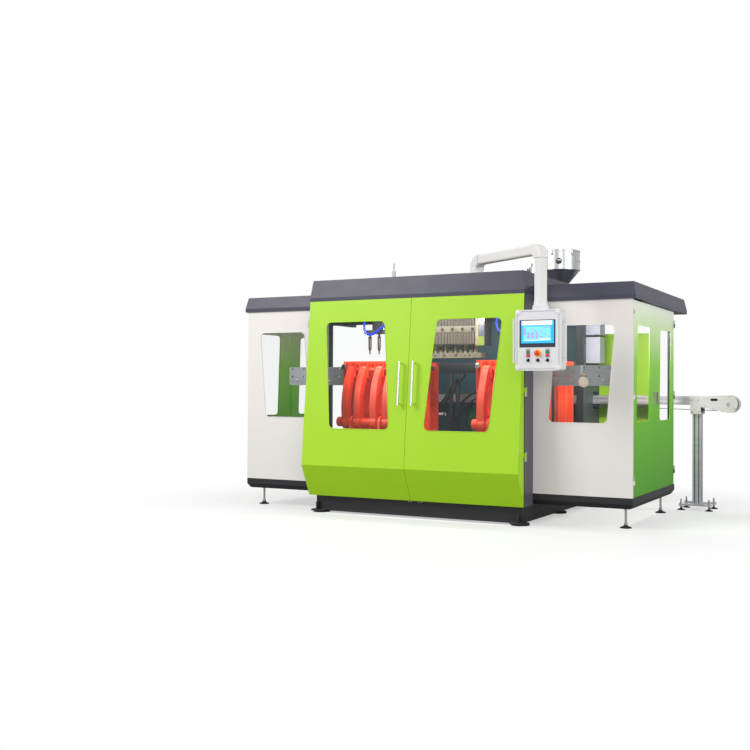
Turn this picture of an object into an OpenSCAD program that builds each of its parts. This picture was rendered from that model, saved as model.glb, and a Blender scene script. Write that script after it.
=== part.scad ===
// Extrusion blow moulding machine with two shuttling clamps, a five-lip die head and a take-off conveyor.
// Origin: floor level, on the line where the front doors meet the roof. X runs to the right, Y to the back.

/* [Main cabinet] */
// Width of the green front, over both doors
cabinet_w = 2400; // [2300:10:2600]
// Depth of the main cabinet
cabinet_d = 2560; // [2550:5:2600]
// Height of the top edge of the doors
door_top = 2225; // [2150:5:2300]
// Height of the bottom edge of the doors
door_bottom = 185; // [170:5:220]
// Height of the fold across the lower part of the doors
fold_z = 510; // [450:5:600]
// How far the fold stands out in front of the cabinet
fold_out = 160; // [120:5:200]
// Height of the dark roof band
roof_h = 225; // [180:5:260]
// How far the roof band leans in
roof_lean = 26; // [10:2:60]
// Thickness of the folded sheet steel
sheet = 4; // [3:0.5:6]
// Gap round each door
door_gap = 4; // [3:0.5:6]

/* [Side cabins] */
// Distance from the middle of the machine to each end wall
end_x = 2170; // [2100:10:2300]
// Y of the front wall of the side cabins
cabin_y = 250; // [200:10:300]
// Depth of the side cabin walls
cabin_d = 1730; // [1600:10:1800]
// Height of the lower edge of the walls
cabin_z = 300; // [280:5:340]
// Height of the upper edge of the walls
cabin_top = 2150; // [2120:5:2160]
// Height of the side roof bands
side_roof_h = 163; // [140:1:200]
// Width of the parallelogram windows
window_w = 578; // [480:2:620]
// Sideways lean of the windows
window_lean = 70; // [40:2:90]

/* [Door windows] */
// Width of a door window
pane_w = 695; // [600:5:760]
// Sideways lean of a door window
pane_lean = 90; // [60:5:110]
// Height of the lower edge of a door window
pane_z = 893; // [800:1:950]
// Height of the upper edge of a door window
pane_top = 2001; // [1900:1:2040]
// Distance from the meeting edge of the doors to the upper corner of the pane
pane_edge = 285; // [240:5:320]
// Glazing thickness
pane_t = 6; // [5:1:10]

/* [Clamps] */
// X of the die head
head_x = 130; // [100:5:160]
// Distance from the cabinet's side to the middle of the right clamp
clamp_in = 290; // [286:1:294]
// Y of the mould parting plane
mould_y = 750; // [730:5:770]
// Width of a platen
platen_w = 768; // [700:2:770]
// Thickness of a platen
platen_t = 50; // [40:1:60]
// Height of a platen's lower edge
platen_z = 560; // [540:5:600]
// Height of a platen's upper edge
platen_top = 1604; // [1560:2:1640]
// Opening travel of each platen
platen_stroke = 110; // [80:5:110]
// Depth of each mould half
mould_d = 120; // [100:5:130]
// Number of cavities, lips and blow pins
cavities = 5; // [3:1:5]
// Distance from one cavity to the next
cavity_pitch = 115; // [100:1:120]
// Height of the lower arm shaft
arm_low_z = 955; // [930:5:1000]
// Y of the lower arm shaft
arm_low_y = 270; // [260:2:280]
// Height of the upper arm pin
arm_high_z = 1510; // [1480:5:1530]
// Y of the upper arm pin
arm_high_y = 385; // [380:1:390]
// Thickness of an arm
arm_t = 70; // [50:2:80]
// Radius of the tie bars
bar_r = 30; // [25:1:36]

/* [Operator panel] */
// X of the boom pivot on the roof
boom_x = 620; // [600:10:660]
// Y of the boom pivot on the roof
boom_y = 215; // [200:5:230]
// Reach of the boom
boom_reach = 1001; // [960:1:1040]
// Angle of the boom from the front of the machine
boom_angle = 32; // [28:1:34]
// Width of the panel housing
panel_w = 430; // [400:5:460]
// Height of the panel housing
panel_h = 555; // [520:5:580]
// Depth of the panel housing
panel_d = 150; // [120:5:170]
// Height of the panel's lower edge
panel_z = 1478; // [1440:2:1500]

/* [Conveyor] */
// Distance from the cabinet's back to the conveyor's centre line
belt_back = 160; // [156:1:164]
// Height of the belt's upper run
belt_z = 1240; // [1200:5:1300]
// Belt width
belt_w = 200; // [160:5:220]
// X of the free end of the belt, at the middle of the end drum
belt_end = 2685; // [2600:5:2750]
// Radius of the end drum
drum_r = 78; // [60:2:80]

/* [Hidden] */
$fn = 48;
half_w = cabinet_w / 2;
roof_top = door_top + roof_h;
cabin_back = cabin_y + cabin_d;
side_roof_z = cabin_top + 10;
side_roof_top = side_roof_z + side_roof_h;
roof_over = 30;
shuttle = half_w - clamp_in - head_x;
belt_y = cabinet_d - belt_back;
post = 80;
frame_y = 60;
frame_back = cabin_back + 20;
roof_edge = 40;
plinth_in = 50;
plinth_z = 20;
foot_r = 90;
frame_x = half_w - 5 - post;
skirt_h = 105;
skirt_lean = 30;
cabin_post = 40;
ring_back = cabin_back + 1 + cabin_post;
rail_z = 400;
rail_h = 40;
deck_t = 15;
beam_z = 1345;
beam_h = 200;
beam_t = 25;
beam_x0 = -1760;
beam_x1 = 2120;
left_x = head_x - shuttle;
right_x = head_x + shuttle;
stations = [left_x, right_x];
arm_at = [-245, -95, 95, 245];
lug_t = 22;
run = 0.05;
bulkhead_y = 1180;
platen_gap = mould_y - platen_stroke - mould_d;
rear_gap = mould_y + platen_stroke + mould_d;
lip_z = 1690;
head_z = 1775;
head_drop = 75;
head_top = door_top - head_drop;
head_d = 220;
pin_z = 1690;
barrel_x = 860;
barrel_rise = 110;
barrel_z = door_top + barrel_rise;
barrel_r = 75;
hopper_y = cabinet_d - 460;
gear_y = hopper_y + 60;
beam_back = gear_y + 110;
top_beams = [frame_y, 560, 1140, 1700, beam_back - post];
conveyor_hole = [[belt_y - 130, belt_z - 150], [belt_y + 135, belt_z + 50]];
panel_cx = boom_x + boom_reach * cos(boom_angle);
panel_cy = boom_y - boom_reach * sin(boom_angle);
panel_face = panel_cy - panel_d / 2;
panel_top = panel_z + panel_h;
boom_rise = 140;
boom_z = roof_top + boom_rise;
hinge_r = 9;
hinge_pin = 5;
hinge_x = half_w + hinge_r + 2;
door_hinge_zs = [620, 1240, 1950];
end_hinge_r = 6;
end_hinge_pin = 3;
end_hinges = [420, 1220, 1980];
door_y = function (z) z >= fold_z
    ? -fold_out * (door_top - z) / (door_top - fold_z)
    : -fold_out * (z - door_bottom) / (fold_z - door_bottom);
door_tilt = atan(fold_out / (door_top - fold_z));

// A box given by its lowest corner and its far corner
module block(a, b) {
    translate(a) cube([b[0] - a[0], b[1] - a[1], b[2] - a[2]]);
}

// A rod along X, Y or Z between two stations of that axis
module rod_x(x0, x1, y, z, r) {
    translate([x0, y, z]) rotate([0, 90, 0]) cylinder(r = r, h = x1 - x0);
}
module rod_y(y0, y1, x, z, r) {
    translate([x, y0, z]) rotate([-90, 0, 0]) cylinder(r = r, h = y1 - y0);
}
module rod_z(z0, z1, x, y, r) {
    translate([x, y, z0]) cylinder(r = r, h = z1 - z0);
}

// A window outline with round corners, leaning sideways: x0 is its lower left corner
module window_outline(x0, w, z0, z1, lean, r) {
    bottom = [[x0 + r, z0 + r], [x0 + w - r, z0 + r]];
    top = [[x0 + lean + r, z1 - r], [x0 + lean + w - r, z1 - r]];
    hull() for (p = concat(bottom, top)) translate(p) circle(r = r, $fn = 24);
}

// An upright plate in the XZ plane, from y to y + t
module upright(y, t) {
    translate([0, y + t, 0]) rotate([90, 0, 0]) linear_extrude(t) children();
}

// An upright plate in the YZ plane, from x to x + t: the outline is drawn in Y and Z
module end_plate(x, t) {
    translate([x, 0, 0]) rotate([90, 0, 90]) linear_extrude(t) children();
}

// Copies to the left half what is drawn on the right
module both() {
    children();
    mirror([1, 0, 0]) children();
}

module base_plinth() {
    x = half_w - plinth_in;
    y0 = 80;
    y1 = cabinet_d - 80;
    wall = 12;
    color("#2b2d31") {
        difference() {
            block([-x, y0, plinth_z], [x, y1, door_bottom - deck_t]);
            block([-x + wall, y0 + wall, plinth_z - 1], [x - wall, y1 - wall, door_bottom]);
        }
        block([-x, y0, door_bottom - deck_t], [x, y1, door_bottom]);
        for (s = [-x / 3, x / 3])
            block([s - 30, y0 + wall, plinth_z + 20], [s + 30, y1 - wall, door_bottom - deck_t]);
    }
}

// Pad and threaded stem of one machine foot, standing at x, y
module foot(x, y, r, z1, stem) {
    translate([x, y, 0]) rotate_extrude()
        polygon([[0, 0], [r, 0], [r, 0.14 * r], [0.45 * r, 0.35 * r], [0.3 * r, 0.55 * r],
            [stem, 0.55 * r], [stem, z1], [0, z1]]);
}

module levelling_feet() {
    color("#1c1d20") {
        for (sx = [-1, 1], y = [130, cabinet_d / 2, cabinet_d - 130])
            translate([sx * (half_w - plinth_in - 35), y, 0])
                cylinder(r = foot_r, h = plinth_z);
        for (sx = [-1, 1], y = [430, cabin_back - 120])
            foot(sx * (end_x - 110), y, 55, cabin_z - skirt_h, 11);
    }
}

// Heights of the two junction boxes on the cabinet's right side wall
junction_zs = [[1610, 1900], [1925, 2060]];
module main_frame() {
    x1 = frame_x + post;
    color("#3a3c42") {
        both() {
            for (y = [frame_y, frame_back - post])
                block([frame_x, y, door_bottom], [x1, y + post, door_top - post]);
            block([frame_x, frame_y, door_top - post], [x1, beam_back, door_top]);
            block([x1, 8, door_bottom], [half_w, cabin_y, door_top]);
            block([frame_x, 8, door_bottom], [x1, frame_y, door_top]);
        }
        difference() {
            both() block([x1, cabin_back, door_bottom], [half_w, cabinet_d - sheet, door_top]);
            block([x1 - 1, conveyor_hole[0][0], conveyor_hole[0][1]], [half_w + 1, conveyor_hole[1][0], conveyor_hole[1][1]]);
        }
        for (y = top_beams)
            block([-frame_x, y, door_top - post], [frame_x, y + post, door_top]);
        for (z = junction_zs) block([half_w, cabin_back + 20, z[0]], [half_w + 158, cabin_back + 220, z[1]]);
    }
}

// Roof band with its leaning sides, as one folded cover
module folded_roof(x0, x1, y0, y1, z0, h, lean) {
    module shell(t) {
        hull() {
            block([x0 + t, y0 + t, z0], [x1 - t, y1 - t, z0 + 40]);
            block([x0 + lean + t, y0 + lean + t, z0 + h - t - 1], [x1 - lean - t, y1 - lean - t, z0 + h - t]);
        }
    }
    difference() {
        shell(0);
        translate([0, 0, -0.1]) shell(sheet);
    }
}

module main_roof() {
    color("#4b4c5c") difference() {
        folded_roof(-half_w, half_w, 0, cabinet_d, door_top, roof_h, roof_lean);
        rod_z(door_top, roof_top + 1, barrel_x, hopper_y, 95);
    }
}

module side_roofs() {
    color("#4b4c5c") both() {
        difference() {
            folded_roof(half_w - roof_lean, end_x + roof_over, cabin_y - 15, cabinet_d - roof_edge,
                side_roof_z, side_roof_h, roof_lean);
            block([0, 0, 0], [half_w + 0.5, cabinet_d + 1, roof_top]);
        }
        block([half_w + 0.5, cabin_back, side_roof_z], [end_x + roof_over, cabinet_d - roof_edge, side_roof_z + sheet]);
    }
}

module rear_panel() {
    color("#1f3a3c") block([-half_w, cabinet_d - sheet, door_bottom], [half_w, cabinet_d, door_top]);
    color("#9fd62f") {
        block([half_w, cabinet_d - 30, 360], [end_x - 320, cabinet_d - 30 + sheet, 1890]);
        block([half_w, cabinet_d - 30, 1890], [end_x - 320, cabinet_d - 10, 1960]);
    }
}

// Posts of a side cabin: X of both, and Y of the front and the rear one
post_x = end_x - 26 - cabin_post;
post_ys = [cabin_y + 34, cabin_back + 1];
module cabin_frames() {
    color("#2b2d31") both() {
        difference() {
            hull() {
                block([half_w, cabin_y, cabin_z - 60], [end_x, ring_back, cabin_z]);
                block([half_w, cabin_y + skirt_lean, cabin_z - skirt_h], [end_x - skirt_lean, ring_back - skirt_lean, cabin_z]);
            }
            block([half_w + 60, cabin_y + 60, cabin_z - skirt_h - 1], [end_x - 160, ring_back - 60, cabin_z + 1]);
        }
        for (y = post_ys) {
            block([post_x, y, cabin_z], [post_x + cabin_post, y + cabin_post, side_roof_z]);
            block([half_w, y, cabin_top - cabin_post], [post_x, y + cabin_post, cabin_top]);
        }
        for (x = [half_w + 100, end_x - 170])
            block([x, ring_back, cabin_top - cabin_post], [x + 60, cabinet_d - 120, side_roof_z]);
        for (z = end_hinges) hinge_base(end_x + end_hinge_r + 2, cabin_back, z, end_hinge_r, end_hinge_pin)
            block([post_x + cabin_post - 1, cabin_back + 1, 0], [end_x + end_hinge_r + 2, cabin_back + 9, hinge_half]);
    }
}

// Front wall of a side cabin, drawn on the right
module cabin_front() {
    upright(cabin_y, sheet) difference() {
        polygon([[half_w, cabin_z], [end_x, cabin_z], [end_x, side_roof_z], [half_w, side_roof_z]]);
        window_outline(end_x - 240 - window_w, window_w, 990, 1925, window_lean, 50);
    }
    block([end_x - sheet, cabin_y + sheet, cabin_z], [end_x, cabin_y + 26, side_roof_z]);
    for (z = end_hinges) hinge_base(end_x + end_hinge_r + 2, cabin_y + 30, z, end_hinge_r, end_hinge_pin)
        block([end_x, cabin_y + 8, 0], [end_x + end_hinge_r, cabin_y + 30, hinge_half]);
}
module left_cabin_front() { color("#e4e1de") mirror([1, 0, 0]) cabin_front(); }
module right_cabin_front() { color("#e4e1de") cabin_front(); }

module cabin_glass() {
    color("#cfe3ea", 0.3) both() upright(cabin_y + sheet, pane_t)
        window_outline(end_x - 240 - window_w - 15, window_w + 30, 975, 1940, window_lean, 60);
}

// The two halves of a hinge on a pin. The base has the pin and stands on the leaf that is its child;
// the knuckle turns on the pin. The leaves are drawn from z = 0 up.
hinge_half = 40;
module hinge_base(x, y, z, r, pin) {
    rod_z(z, z + hinge_half, x, y, r);
    rod_z(z, z + 2 * hinge_half, x, y, pin);
    translate([0, 0, z]) children();
}
module hinge_knuckle(x, y, z, r, pin) {
    difference() {
        union() {
            rod_z(z + hinge_half + 0.3, z + 2 * hinge_half, x, y, r);
            translate([0, 0, z + hinge_half + 0.3]) children();
        }
        rod_z(z, z + 2 * hinge_half + 1, x, y, pin + run);
    }
}

// The folded sheet of one front door, drawn on the right: window, fold, closed sides and hinge leaves
module door_sheet() {
    x0 = door_gap / 2;
    x1 = half_w - door_gap;
    profile = [[0, door_bottom], [-fold_out, fold_z], [0, door_top]];
    difference() {
        union() {
            end_plate(x0, x1 - x0) polygon(concat(profile,
                [[sheet, door_top], [-fold_out + sheet, fold_z], [sheet, door_bottom]]));
            for (x = [x0, x1 - sheet]) end_plate(x, sheet) polygon(profile);
        }
        upright(-fold_out - 1, fold_out + sheet + 2)
            window_outline(pane_edge - pane_lean, pane_w, pane_z, pane_top, pane_lean, 55);
    }
    for (z = door_hinge_zs) hinge_knuckle(hinge_x, 0, z, hinge_r, hinge_pin)
        block([x1 - 1, -6, 0], [hinge_x, 0, hinge_half - 0.3]);
}
module door_pane() {
    intersection() {
        upright(-fold_out, fold_out + 60)
            window_outline(pane_edge - pane_lean - 14, pane_w + 28, pane_z - 14, pane_top + 14, pane_lean, 60);
        end_plate(0, half_w) polygon([[-fold_out + sheet, fold_z], [sheet, door_top],
            [sheet + pane_t, door_top], [-fold_out + sheet + pane_t, fold_z]]);
    }
}
// Bowed tubular pull on its two posts
module door_pull() {
    zs = [1160, 1567];
    for (z = zs) rod_y(door_y(z) - 62, door_y(z) - 0.7, 75, z, 7);
    translate([75, door_y(zs[0]) - 62, zs[0]]) rotate([-atan((door_y(zs[1]) - door_y(zs[0])) / (zs[1] - zs[0])), 0, 0])
        translate([0, 0, -18]) cylinder(r = 12, h = zs[1] - zs[0] + 36);
}
module left_door() { color("#a5dc37") mirror([1, 0, 0]) door_sheet(); }
module right_door() { color("#a5dc37") door_sheet(); }
module left_door_glass() { color("#cfe3ea", 0.3) mirror([1, 0, 0]) door_pane(); }
module right_door_glass() { color("#cfe3ea", 0.3) door_pane(); }
module left_door_handle() { color("#d8d8dc") mirror([1, 0, 0]) door_pull(); }
module right_door_handle() { color("#d8d8dc") door_pull(); }

// Hinge knuckles outside the cabinet's side walls
module door_hinges() {
    color("#dcdce0") both() for (z = door_hinge_zs) {
        hinge_base(hinge_x, 0, z, hinge_r, hinge_pin) block([half_w, 0, 0], [half_w + 6, 60, hinge_half]);
        block([half_w, 12, z], [half_w + 8, 60, z + 90]);
    }
}

// One half-width end door with its pane, pull and folded edges, drawn on the right
module end_door(y0, y1, pane_y, pull_y, hinge_y) {
    x = end_x - sheet;
    leaf = hinge_y > y0 ? [y1 - 26, hinge_y] : [hinge_y, y0 + 26];
    end_plate(x, sheet) difference() {
        polygon([[y0, cabin_z + 4], [y1, cabin_z + 4], [y1, cabin_top], [y0, cabin_top]]);
        window_outline(pane_y, 480, 997, 1930, 37, 45);
    }
    for (z = end_hinges) hinge_knuckle(end_x + end_hinge_r + 2, hinge_y, z, end_hinge_r, end_hinge_pin)
        block([end_x, leaf[0], 0], [end_x + end_hinge_r, leaf[1], hinge_half - 0.3]);
    for (y = [y0, y1 - sheet]) block([x - 22, y, cabin_z + 4], [x, y + sheet, cabin_top]);
    end_plate(x - pane_t, pane_t) window_outline(pane_y - 12, 504, 985, 1942, 37, 50);
    block([end_x, pull_y, 1165], [end_x + 26, pull_y + 22, 1290]);
}
door_split = cabin_y + cabin_d / 2;
module front_end_door() { end_door(cabin_y + 30, door_split - 3, 380, door_split - 75, cabin_y + 30); }
module rear_end_door() { end_door(door_split + 3, cabin_back, 1310, door_split + 45, cabin_back); }
module left_end_door_front() { color("#8ccf35") mirror([1, 0, 0]) front_end_door(); }
module left_end_door_rear() { color("#8ccf35") mirror([1, 0, 0]) rear_end_door(); }
module right_end_door_front() { color("#8ccf35") front_end_door(); }
module right_end_door_rear() { color("#8ccf35") rear_end_door(); }

boom_seat = roof_top + 30;
boom_w = 92;
elbow_w = 108;
elbow_r = 78;
turn_gap = 0.3;
module boom_base() {
    color("#e6e3e0") {
        rod_z(roof_top, roof_top + 14, boom_x, boom_y, 85);
        rod_z(roof_top + 14, boom_seat, boom_x, boom_y, 66);
    }
}
// Section of the boom's square tube and of its cast elbows, with round corners
module boom_section(w) {
    hull() for (a = [-1, 1], b = [-1, 1]) translate([a, b] * (w / 2 - 18)) circle(r = 18, $fn = 24);
}
// Draws its children in the boom's own line: X along the boom, from the pivot
module along_boom() {
    translate([boom_x, boom_y, 0]) rotate([0, 0, -boom_angle]) children();
}
module boom_arm() {
    low = boom_seat + turn_gap;
    bend_z = boom_z - elbow_r;
    tip = panel_top + collar_h + turn_gap;
    color("#e6e3e0") along_boom() {
        rod_z(low, low + 24, 0, 0, 66);
        translate([0, 0, low + 20]) linear_extrude(bend_z - low - 20) boom_section(elbow_w);
        translate([elbow_r, 0, bend_z]) rotate([90, 0, 0]) rotate(90) rotate_extrude(angle = 90)
            translate([elbow_r, 0]) boom_section(elbow_w);
        translate([elbow_r, 0, boom_z]) rotate([90, 0, 90]) linear_extrude(boom_reach - 2 * elbow_r) boom_section(boom_w);
        translate([boom_reach - elbow_r, 0, bend_z]) rotate([90, 0, 0]) rotate_extrude(angle = 90)
            translate([elbow_r, 0]) boom_section(elbow_w);
        translate([boom_reach, 0, tip]) linear_extrude(bend_z - tip) boom_section(boom_w);
    }
}
collar_h = 90;
module hmi_housing() {
    x0 = panel_cx - panel_w / 2;
    color("#d9d8da") {
        difference() {
            hull() for (x = [x0 + 25, x0 + panel_w - 25], z = [panel_z + 25, panel_top - 25])
                rod_y(panel_face, panel_face + panel_d, x, z, 25, $fn = 32);
            block([panel_cx - 175, panel_face - 1, panel_z + 212], [panel_cx + 165, panel_face + 14, panel_z + 462]);
            for (b = panel_buttons) rod_y(panel_face - 1, panel_face + 16, b[0], b[1], b[2] + button_gap);
        }
        translate([panel_cx, panel_cy, panel_top]) rotate_extrude()
            polygon([[0, -1], [74, -1], [74, 34], [63, 48], [60, collar_h], [0, collar_h]]);
        for (s = [-1, 1]) {
            x = panel_cx + s * (panel_w / 2 + 32);
            rod_z(panel_z + 75, panel_top - 75, x, panel_face + 45, 10);
            for (z = [panel_z + 115, panel_top - 115])
                rod_x(min(x, x - s * 33), max(x, x - s * 33), panel_face + 45, z, 6);
        }
    }
}
// X, Z and radius of each button, from left to right
button_dx = 92;
button_gap = 0.3;
panel_buttons = [
    [panel_cx - button_dx, panel_z + 170, 12], [panel_cx - button_dx, panel_z + 140, 12],
    [panel_cx + button_dx, panel_z + 170, 12], [panel_cx + button_dx, panel_z + 140, 12],
    [panel_cx, panel_z + 158, 16],
    [panel_cx - button_dx, panel_z + 95, 11], [panel_cx, panel_z + 95, 11], [panel_cx + button_dx, panel_z + 95, 11]];
module hmi_screen() {
    color("#3f4f63") block([panel_cx - 174, panel_face - 3, panel_z + 213], [panel_cx + 164, panel_face + 13.5, panel_z + 461]);
}
module push_button(i, tint) {
    b = panel_buttons[i];
    color(tint) rod_y(panel_face - 8, panel_face + 10, b[0], b[1], b[2]);
}
module start_button_left() { push_button(0, "#1f9a62"); }
module stop_button_left() { push_button(1, "#e04848"); }
module start_button_right() { push_button(2, "#1f9a62"); }
module stop_button_right() { push_button(3, "#e04848"); }
module emergency_stop() {
    b = panel_buttons[4];
    color("#e8402a") {
        rod_y(panel_face - 20, panel_face + 8, b[0], b[1], b[2]);
        translate([b[0], panel_face - 20, b[1]]) rotate([90, 0, 0])
            rotate_extrude() polygon([[0, 0], [28, 0], [30, 8], [26, 15], [16, 19], [0, 20]]);
    }
}
module selector(i) {
    b = panel_buttons[i];
    color("#1b1c20") {
        rod_y(panel_face - 10, panel_face + 10, b[0], b[1], b[2]);
        block([b[0] - 4, panel_face - 22, b[1] - 14], [b[0] + 4, panel_face - 10, b[1] + 14]);
    }
}
module selector_left() { selector(5); }
module selector_middle() { selector(6); }
module selector_right() { selector(7); }

// Clamp parts are drawn about x = 0 and moved to their station
shaft_r = 40;
rib_d = 35;
rib_zs = [800, 1040, 1280];
shaft_x = arm_at[3] + arm_t / 2 + 4;
bar_x = platen_w / 2 - 40;
bar_zs = [platen_z + 60, platen_top - 60];
carriage_y0 = 200;
lug_x = [for (a = arm_at) for (s = [-1, 1]) a + s * (arm_t / 2 + 2 + lug_t / 2)];
slot_half = 36;
slot_r = 26;
lug_y = arm_high_y - 35;
module carriage() {
    cheek_x = (arm_at[2] + arm_at[3]) / 2 - 15;
    low = rail_z + rail_h;
    color("#e5371f") {
        block([-platen_w / 2, cabin_y + 15, low], [platen_w / 2, bulkhead_y + 60, low + 60]);
        block([-shaft_x, carriage_y0, low], [shaft_x, cabin_y + 16, low + 60]);
        difference() {
            block([-platen_w / 2, bulkhead_y, low + 60], [platen_w / 2, bulkhead_y + 60, platen_top]);
            rod_y(bulkhead_y - 1, bulkhead_y + 61, 0, (platen_z + platen_top) / 2, 45);
        }
        difference() {
            both() end_plate(cheek_x, 30) hull() {
                translate([arm_low_y, arm_low_z]) circle(r = shaft_r + 26, $fn = 32);
                translate([carriage_y0, low + 59]) square([150, 1]);
            }
            rod_x(-platen_w, platen_w, arm_low_y, arm_low_z, shaft_r + run);
        }
        both() for (y = [560, 940], s = [-1, 1])
            block([platen_w / 2 - 200, y + s * 34 - 12, rail_z + 8], [platen_w / 2 - 60, y + s * 34 + 12, low]);
    }
}
module tie_bars() {
    color("#b9bcc2") {
        both() for (z = bar_zs) rod_y(platen_gap - platen_t - 100, bulkhead_y, bar_x, z, bar_r);
        difference() {
            rod_y(bulkhead_y + 60, bulkhead_y + 420, 0, (platen_z + platen_top) / 2, 95);
            rod_y(bulkhead_y + 50, bulkhead_y + 400, 0, (platen_z + platen_top) / 2, 45);
        }
    }
}
// Platen plate with its bores, from y to y + platen_t
module platen_plate(y) {
    difference() {
        block([-platen_w / 2, y, platen_z], [platen_w / 2, y + platen_t, platen_top]);
        both() for (z = bar_zs) rod_y(y - 300, y + 300, bar_x, z, bar_r + run);
    }
}
// One mould half with half a neck bore over each cavity
module mould_half(y) {
    color("#c9ccd1") difference() {
        block([-300, y, 900], [300, y + mould_d, 1500]);
        for (i = [0 : cavities - 1])
            rod_z(1250, 1501, (i - (cavities - 1) / 2) * cavity_pitch, y > mould_y ? y : y + mould_d, 25);
    }
}
module front_platen() {
    y = platen_gap - platen_t;
    color("#e5371f") {
        platen_plate(y);
        for (z = concat([platen_z, platen_top - 30], rib_zs))
            block([-bar_x + bar_r + 8, y - rib_d, z], [bar_x - bar_r - 8, y, z + 30]);
        for (x = [-182, -12, 158])
            block([x, y - rib_d, platen_z + 10], [x + 24, y, platen_top - 10]);
        both() {
            block([platen_w / 2 - 9, y - rib_d, platen_z], [platen_w / 2, y, platen_top]);
            for (z = rib_zs) block([bar_x - bar_r - 9, y - rib_d, z], [platen_w / 2 - 8, y, z + 20]);
        }
        for (x = lug_x) end_plate(x - lug_t / 2, lug_t) difference() {
            polygon([[y, arm_high_z - 150], [y, arm_high_z + 92], [lug_y, arm_high_z + 81], [lug_y, arm_high_z - 81]]);
            for (s = [-1, 1]) translate([arm_high_y, arm_high_z + s * slot_half]) circle(r = slot_r);
            translate([arm_high_y - slot_r, arm_high_z - slot_half]) square([2 * slot_r, 2 * slot_half]);
        }
    }
    mould_half(y + platen_t);
}
module rear_platen() {
    color("#e5371f") {
        platen_plate(rear_gap);
        for (z = [800, 1280]) block([-bar_x + 40, rear_gap + platen_t, z], [bar_x - 40, rear_gap + platen_t + 40, z + 30]);
    }
    color("#c9ccd1") rod_y(rear_gap + platen_t, bulkhead_y + 300, 0, (platen_z + platen_top) / 2, 35);
    mould_half(rear_gap - mould_d);
}
// Bowed toggle arms on their common lower shaft, with the upper pin that slides in the platen's lugs.
// The arm's centre line is an arc through both pins.
arm_bow = 62;
arm_half = 46;
arm_chord = [arm_high_y - arm_low_y, arm_high_z - arm_low_z];
arm_r = (pow(norm(arm_chord) / 2, 2) + arm_bow * arm_bow) / (2 * arm_bow);
module arm_outline() {
    mid = [arm_low_y, arm_low_z] + arm_chord / 2;
    side = [arm_chord[1], -arm_chord[0]] / norm(arm_chord);
    centre = mid + side * (arm_r - arm_bow);
    intersection() {
        translate(centre) difference() {
            circle(r = arm_r + arm_half, $fn = 96);
            circle(r = arm_r - arm_half, $fn = 96);
        }
        polygon([[arm_low_y, arm_low_z], [arm_low_y - 400, arm_low_z + 40], [arm_high_y - 400, arm_high_z + 40],
            [arm_high_y, arm_high_z], [arm_low_y + 150, arm_high_z - 100], [arm_low_y + 100, arm_low_z]]);
    }
    translate([arm_low_y, arm_low_z]) circle(r = 66);
    translate([arm_high_y, arm_high_z]) circle(r = 42);
}
module arms() {
    color("#e8402a") {
        for (a = arm_at) end_plate(a - arm_t / 2, arm_t) arm_outline();
        rod_x(-shaft_x, shaft_x, arm_low_y, arm_low_z, shaft_r);
        rod_x(arm_at[0] - 62, arm_at[3] + 62, arm_high_y, arm_high_z, 22);
    }
}
module left_carriage() { translate([left_x, 0, 0]) carriage(); }
module left_tie_bars() { translate([left_x, 0, 0]) tie_bars(); }
module left_front_platen() { translate([left_x, 0, 0]) front_platen(); }
module left_rear_platen() { translate([left_x, 0, 0]) rear_platen(); }
module left_arms() { translate([left_x, 0, 0]) arms(); }
module right_carriage() { translate([right_x, 0, 0]) carriage(); }
module right_tie_bars() { translate([right_x, 0, 0]) tie_bars(); }
module right_front_platen() { translate([right_x, 0, 0]) front_platen(); }
module right_rear_platen() { translate([right_x, 0, 0]) rear_platen(); }
module right_arms() { translate([right_x, 0, 0]) arms(); }

// Drilled carrier plate on the outer edge of a front platen
module carrier_beam(x0, x1) {
    y = platen_gap - platen_t;
    color("#7c7f86") difference() {
        block([x0, y, beam_z], [x1, y + beam_t, beam_z + beam_h]);
        for (x = [x0 + 45 : 150 : x1 - 40], z = [beam_z + 95, beam_z + 180])
            rod_y(y - 1, y + beam_t + 1, x, z, 11, $fn = 24);
    }
}
module left_beam() { carrier_beam(beam_x0, left_x - platen_w / 2); }
module right_beam() { carrier_beam(right_x + platen_w / 2, beam_x1); }
module rail_bed() {
    x0 = left_x - platen_w / 2 - 60;
    x1 = right_x + platen_w / 2 + 60;
    color("#5b5e66") for (y = [560, 940]) {
        block([-half_w + plinth_in, y - 50, door_bottom], [half_w - plinth_in, y + 50, rail_z - 60]);
        block([x0, y - 50, rail_z - 60], [x1, y + 50, rail_z]);
        block([x0, y - 21, rail_z], [x1, y + 21, rail_z + rail_h - 0.3]);
    }
}

head_x0 = head_x - (cavities + 0.1) * cavity_pitch / 2;
head_x1 = head_x + (cavities + 0.1) * cavity_pitch / 2;
module die_head() {
    y0 = mould_y - head_d / 2;
    y1 = mould_y + head_d / 2;
    color("#a39a88") {
        difference() {
            union() {
                block([head_x0, y0 + 12, head_z], [head_x1, y1, head_top]);
                for (x = [head_x0 + 3 : 12 : head_x1 - 8], z = [[head_z + 8, 1905], [1975, head_top]])
                    block([x, y0, z[0]], [x + 6, y0 + 12, z[1]]);
            }
            for (i = [0 : cavities - 1])
                rod_y(y0, y0 + 70, head_x + (i - (cavities - 1) / 2) * cavity_pitch, 1940, 16, $fn = 24);
        }
        for (x = [head_x0 + 40, head_x1 - 100]) {
            block([x, mould_y - 60, head_top], [x + 60, mould_y + 60, door_top + 40]);
            block([x, top_beams[1], door_top], [x + 60, top_beams[2] + post, door_top + 40]);
        }
        block([head_x1, y0 + 10, head_z - 10], [head_x1 + 100, y1 - 10, head_top]);
    }
}
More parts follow.
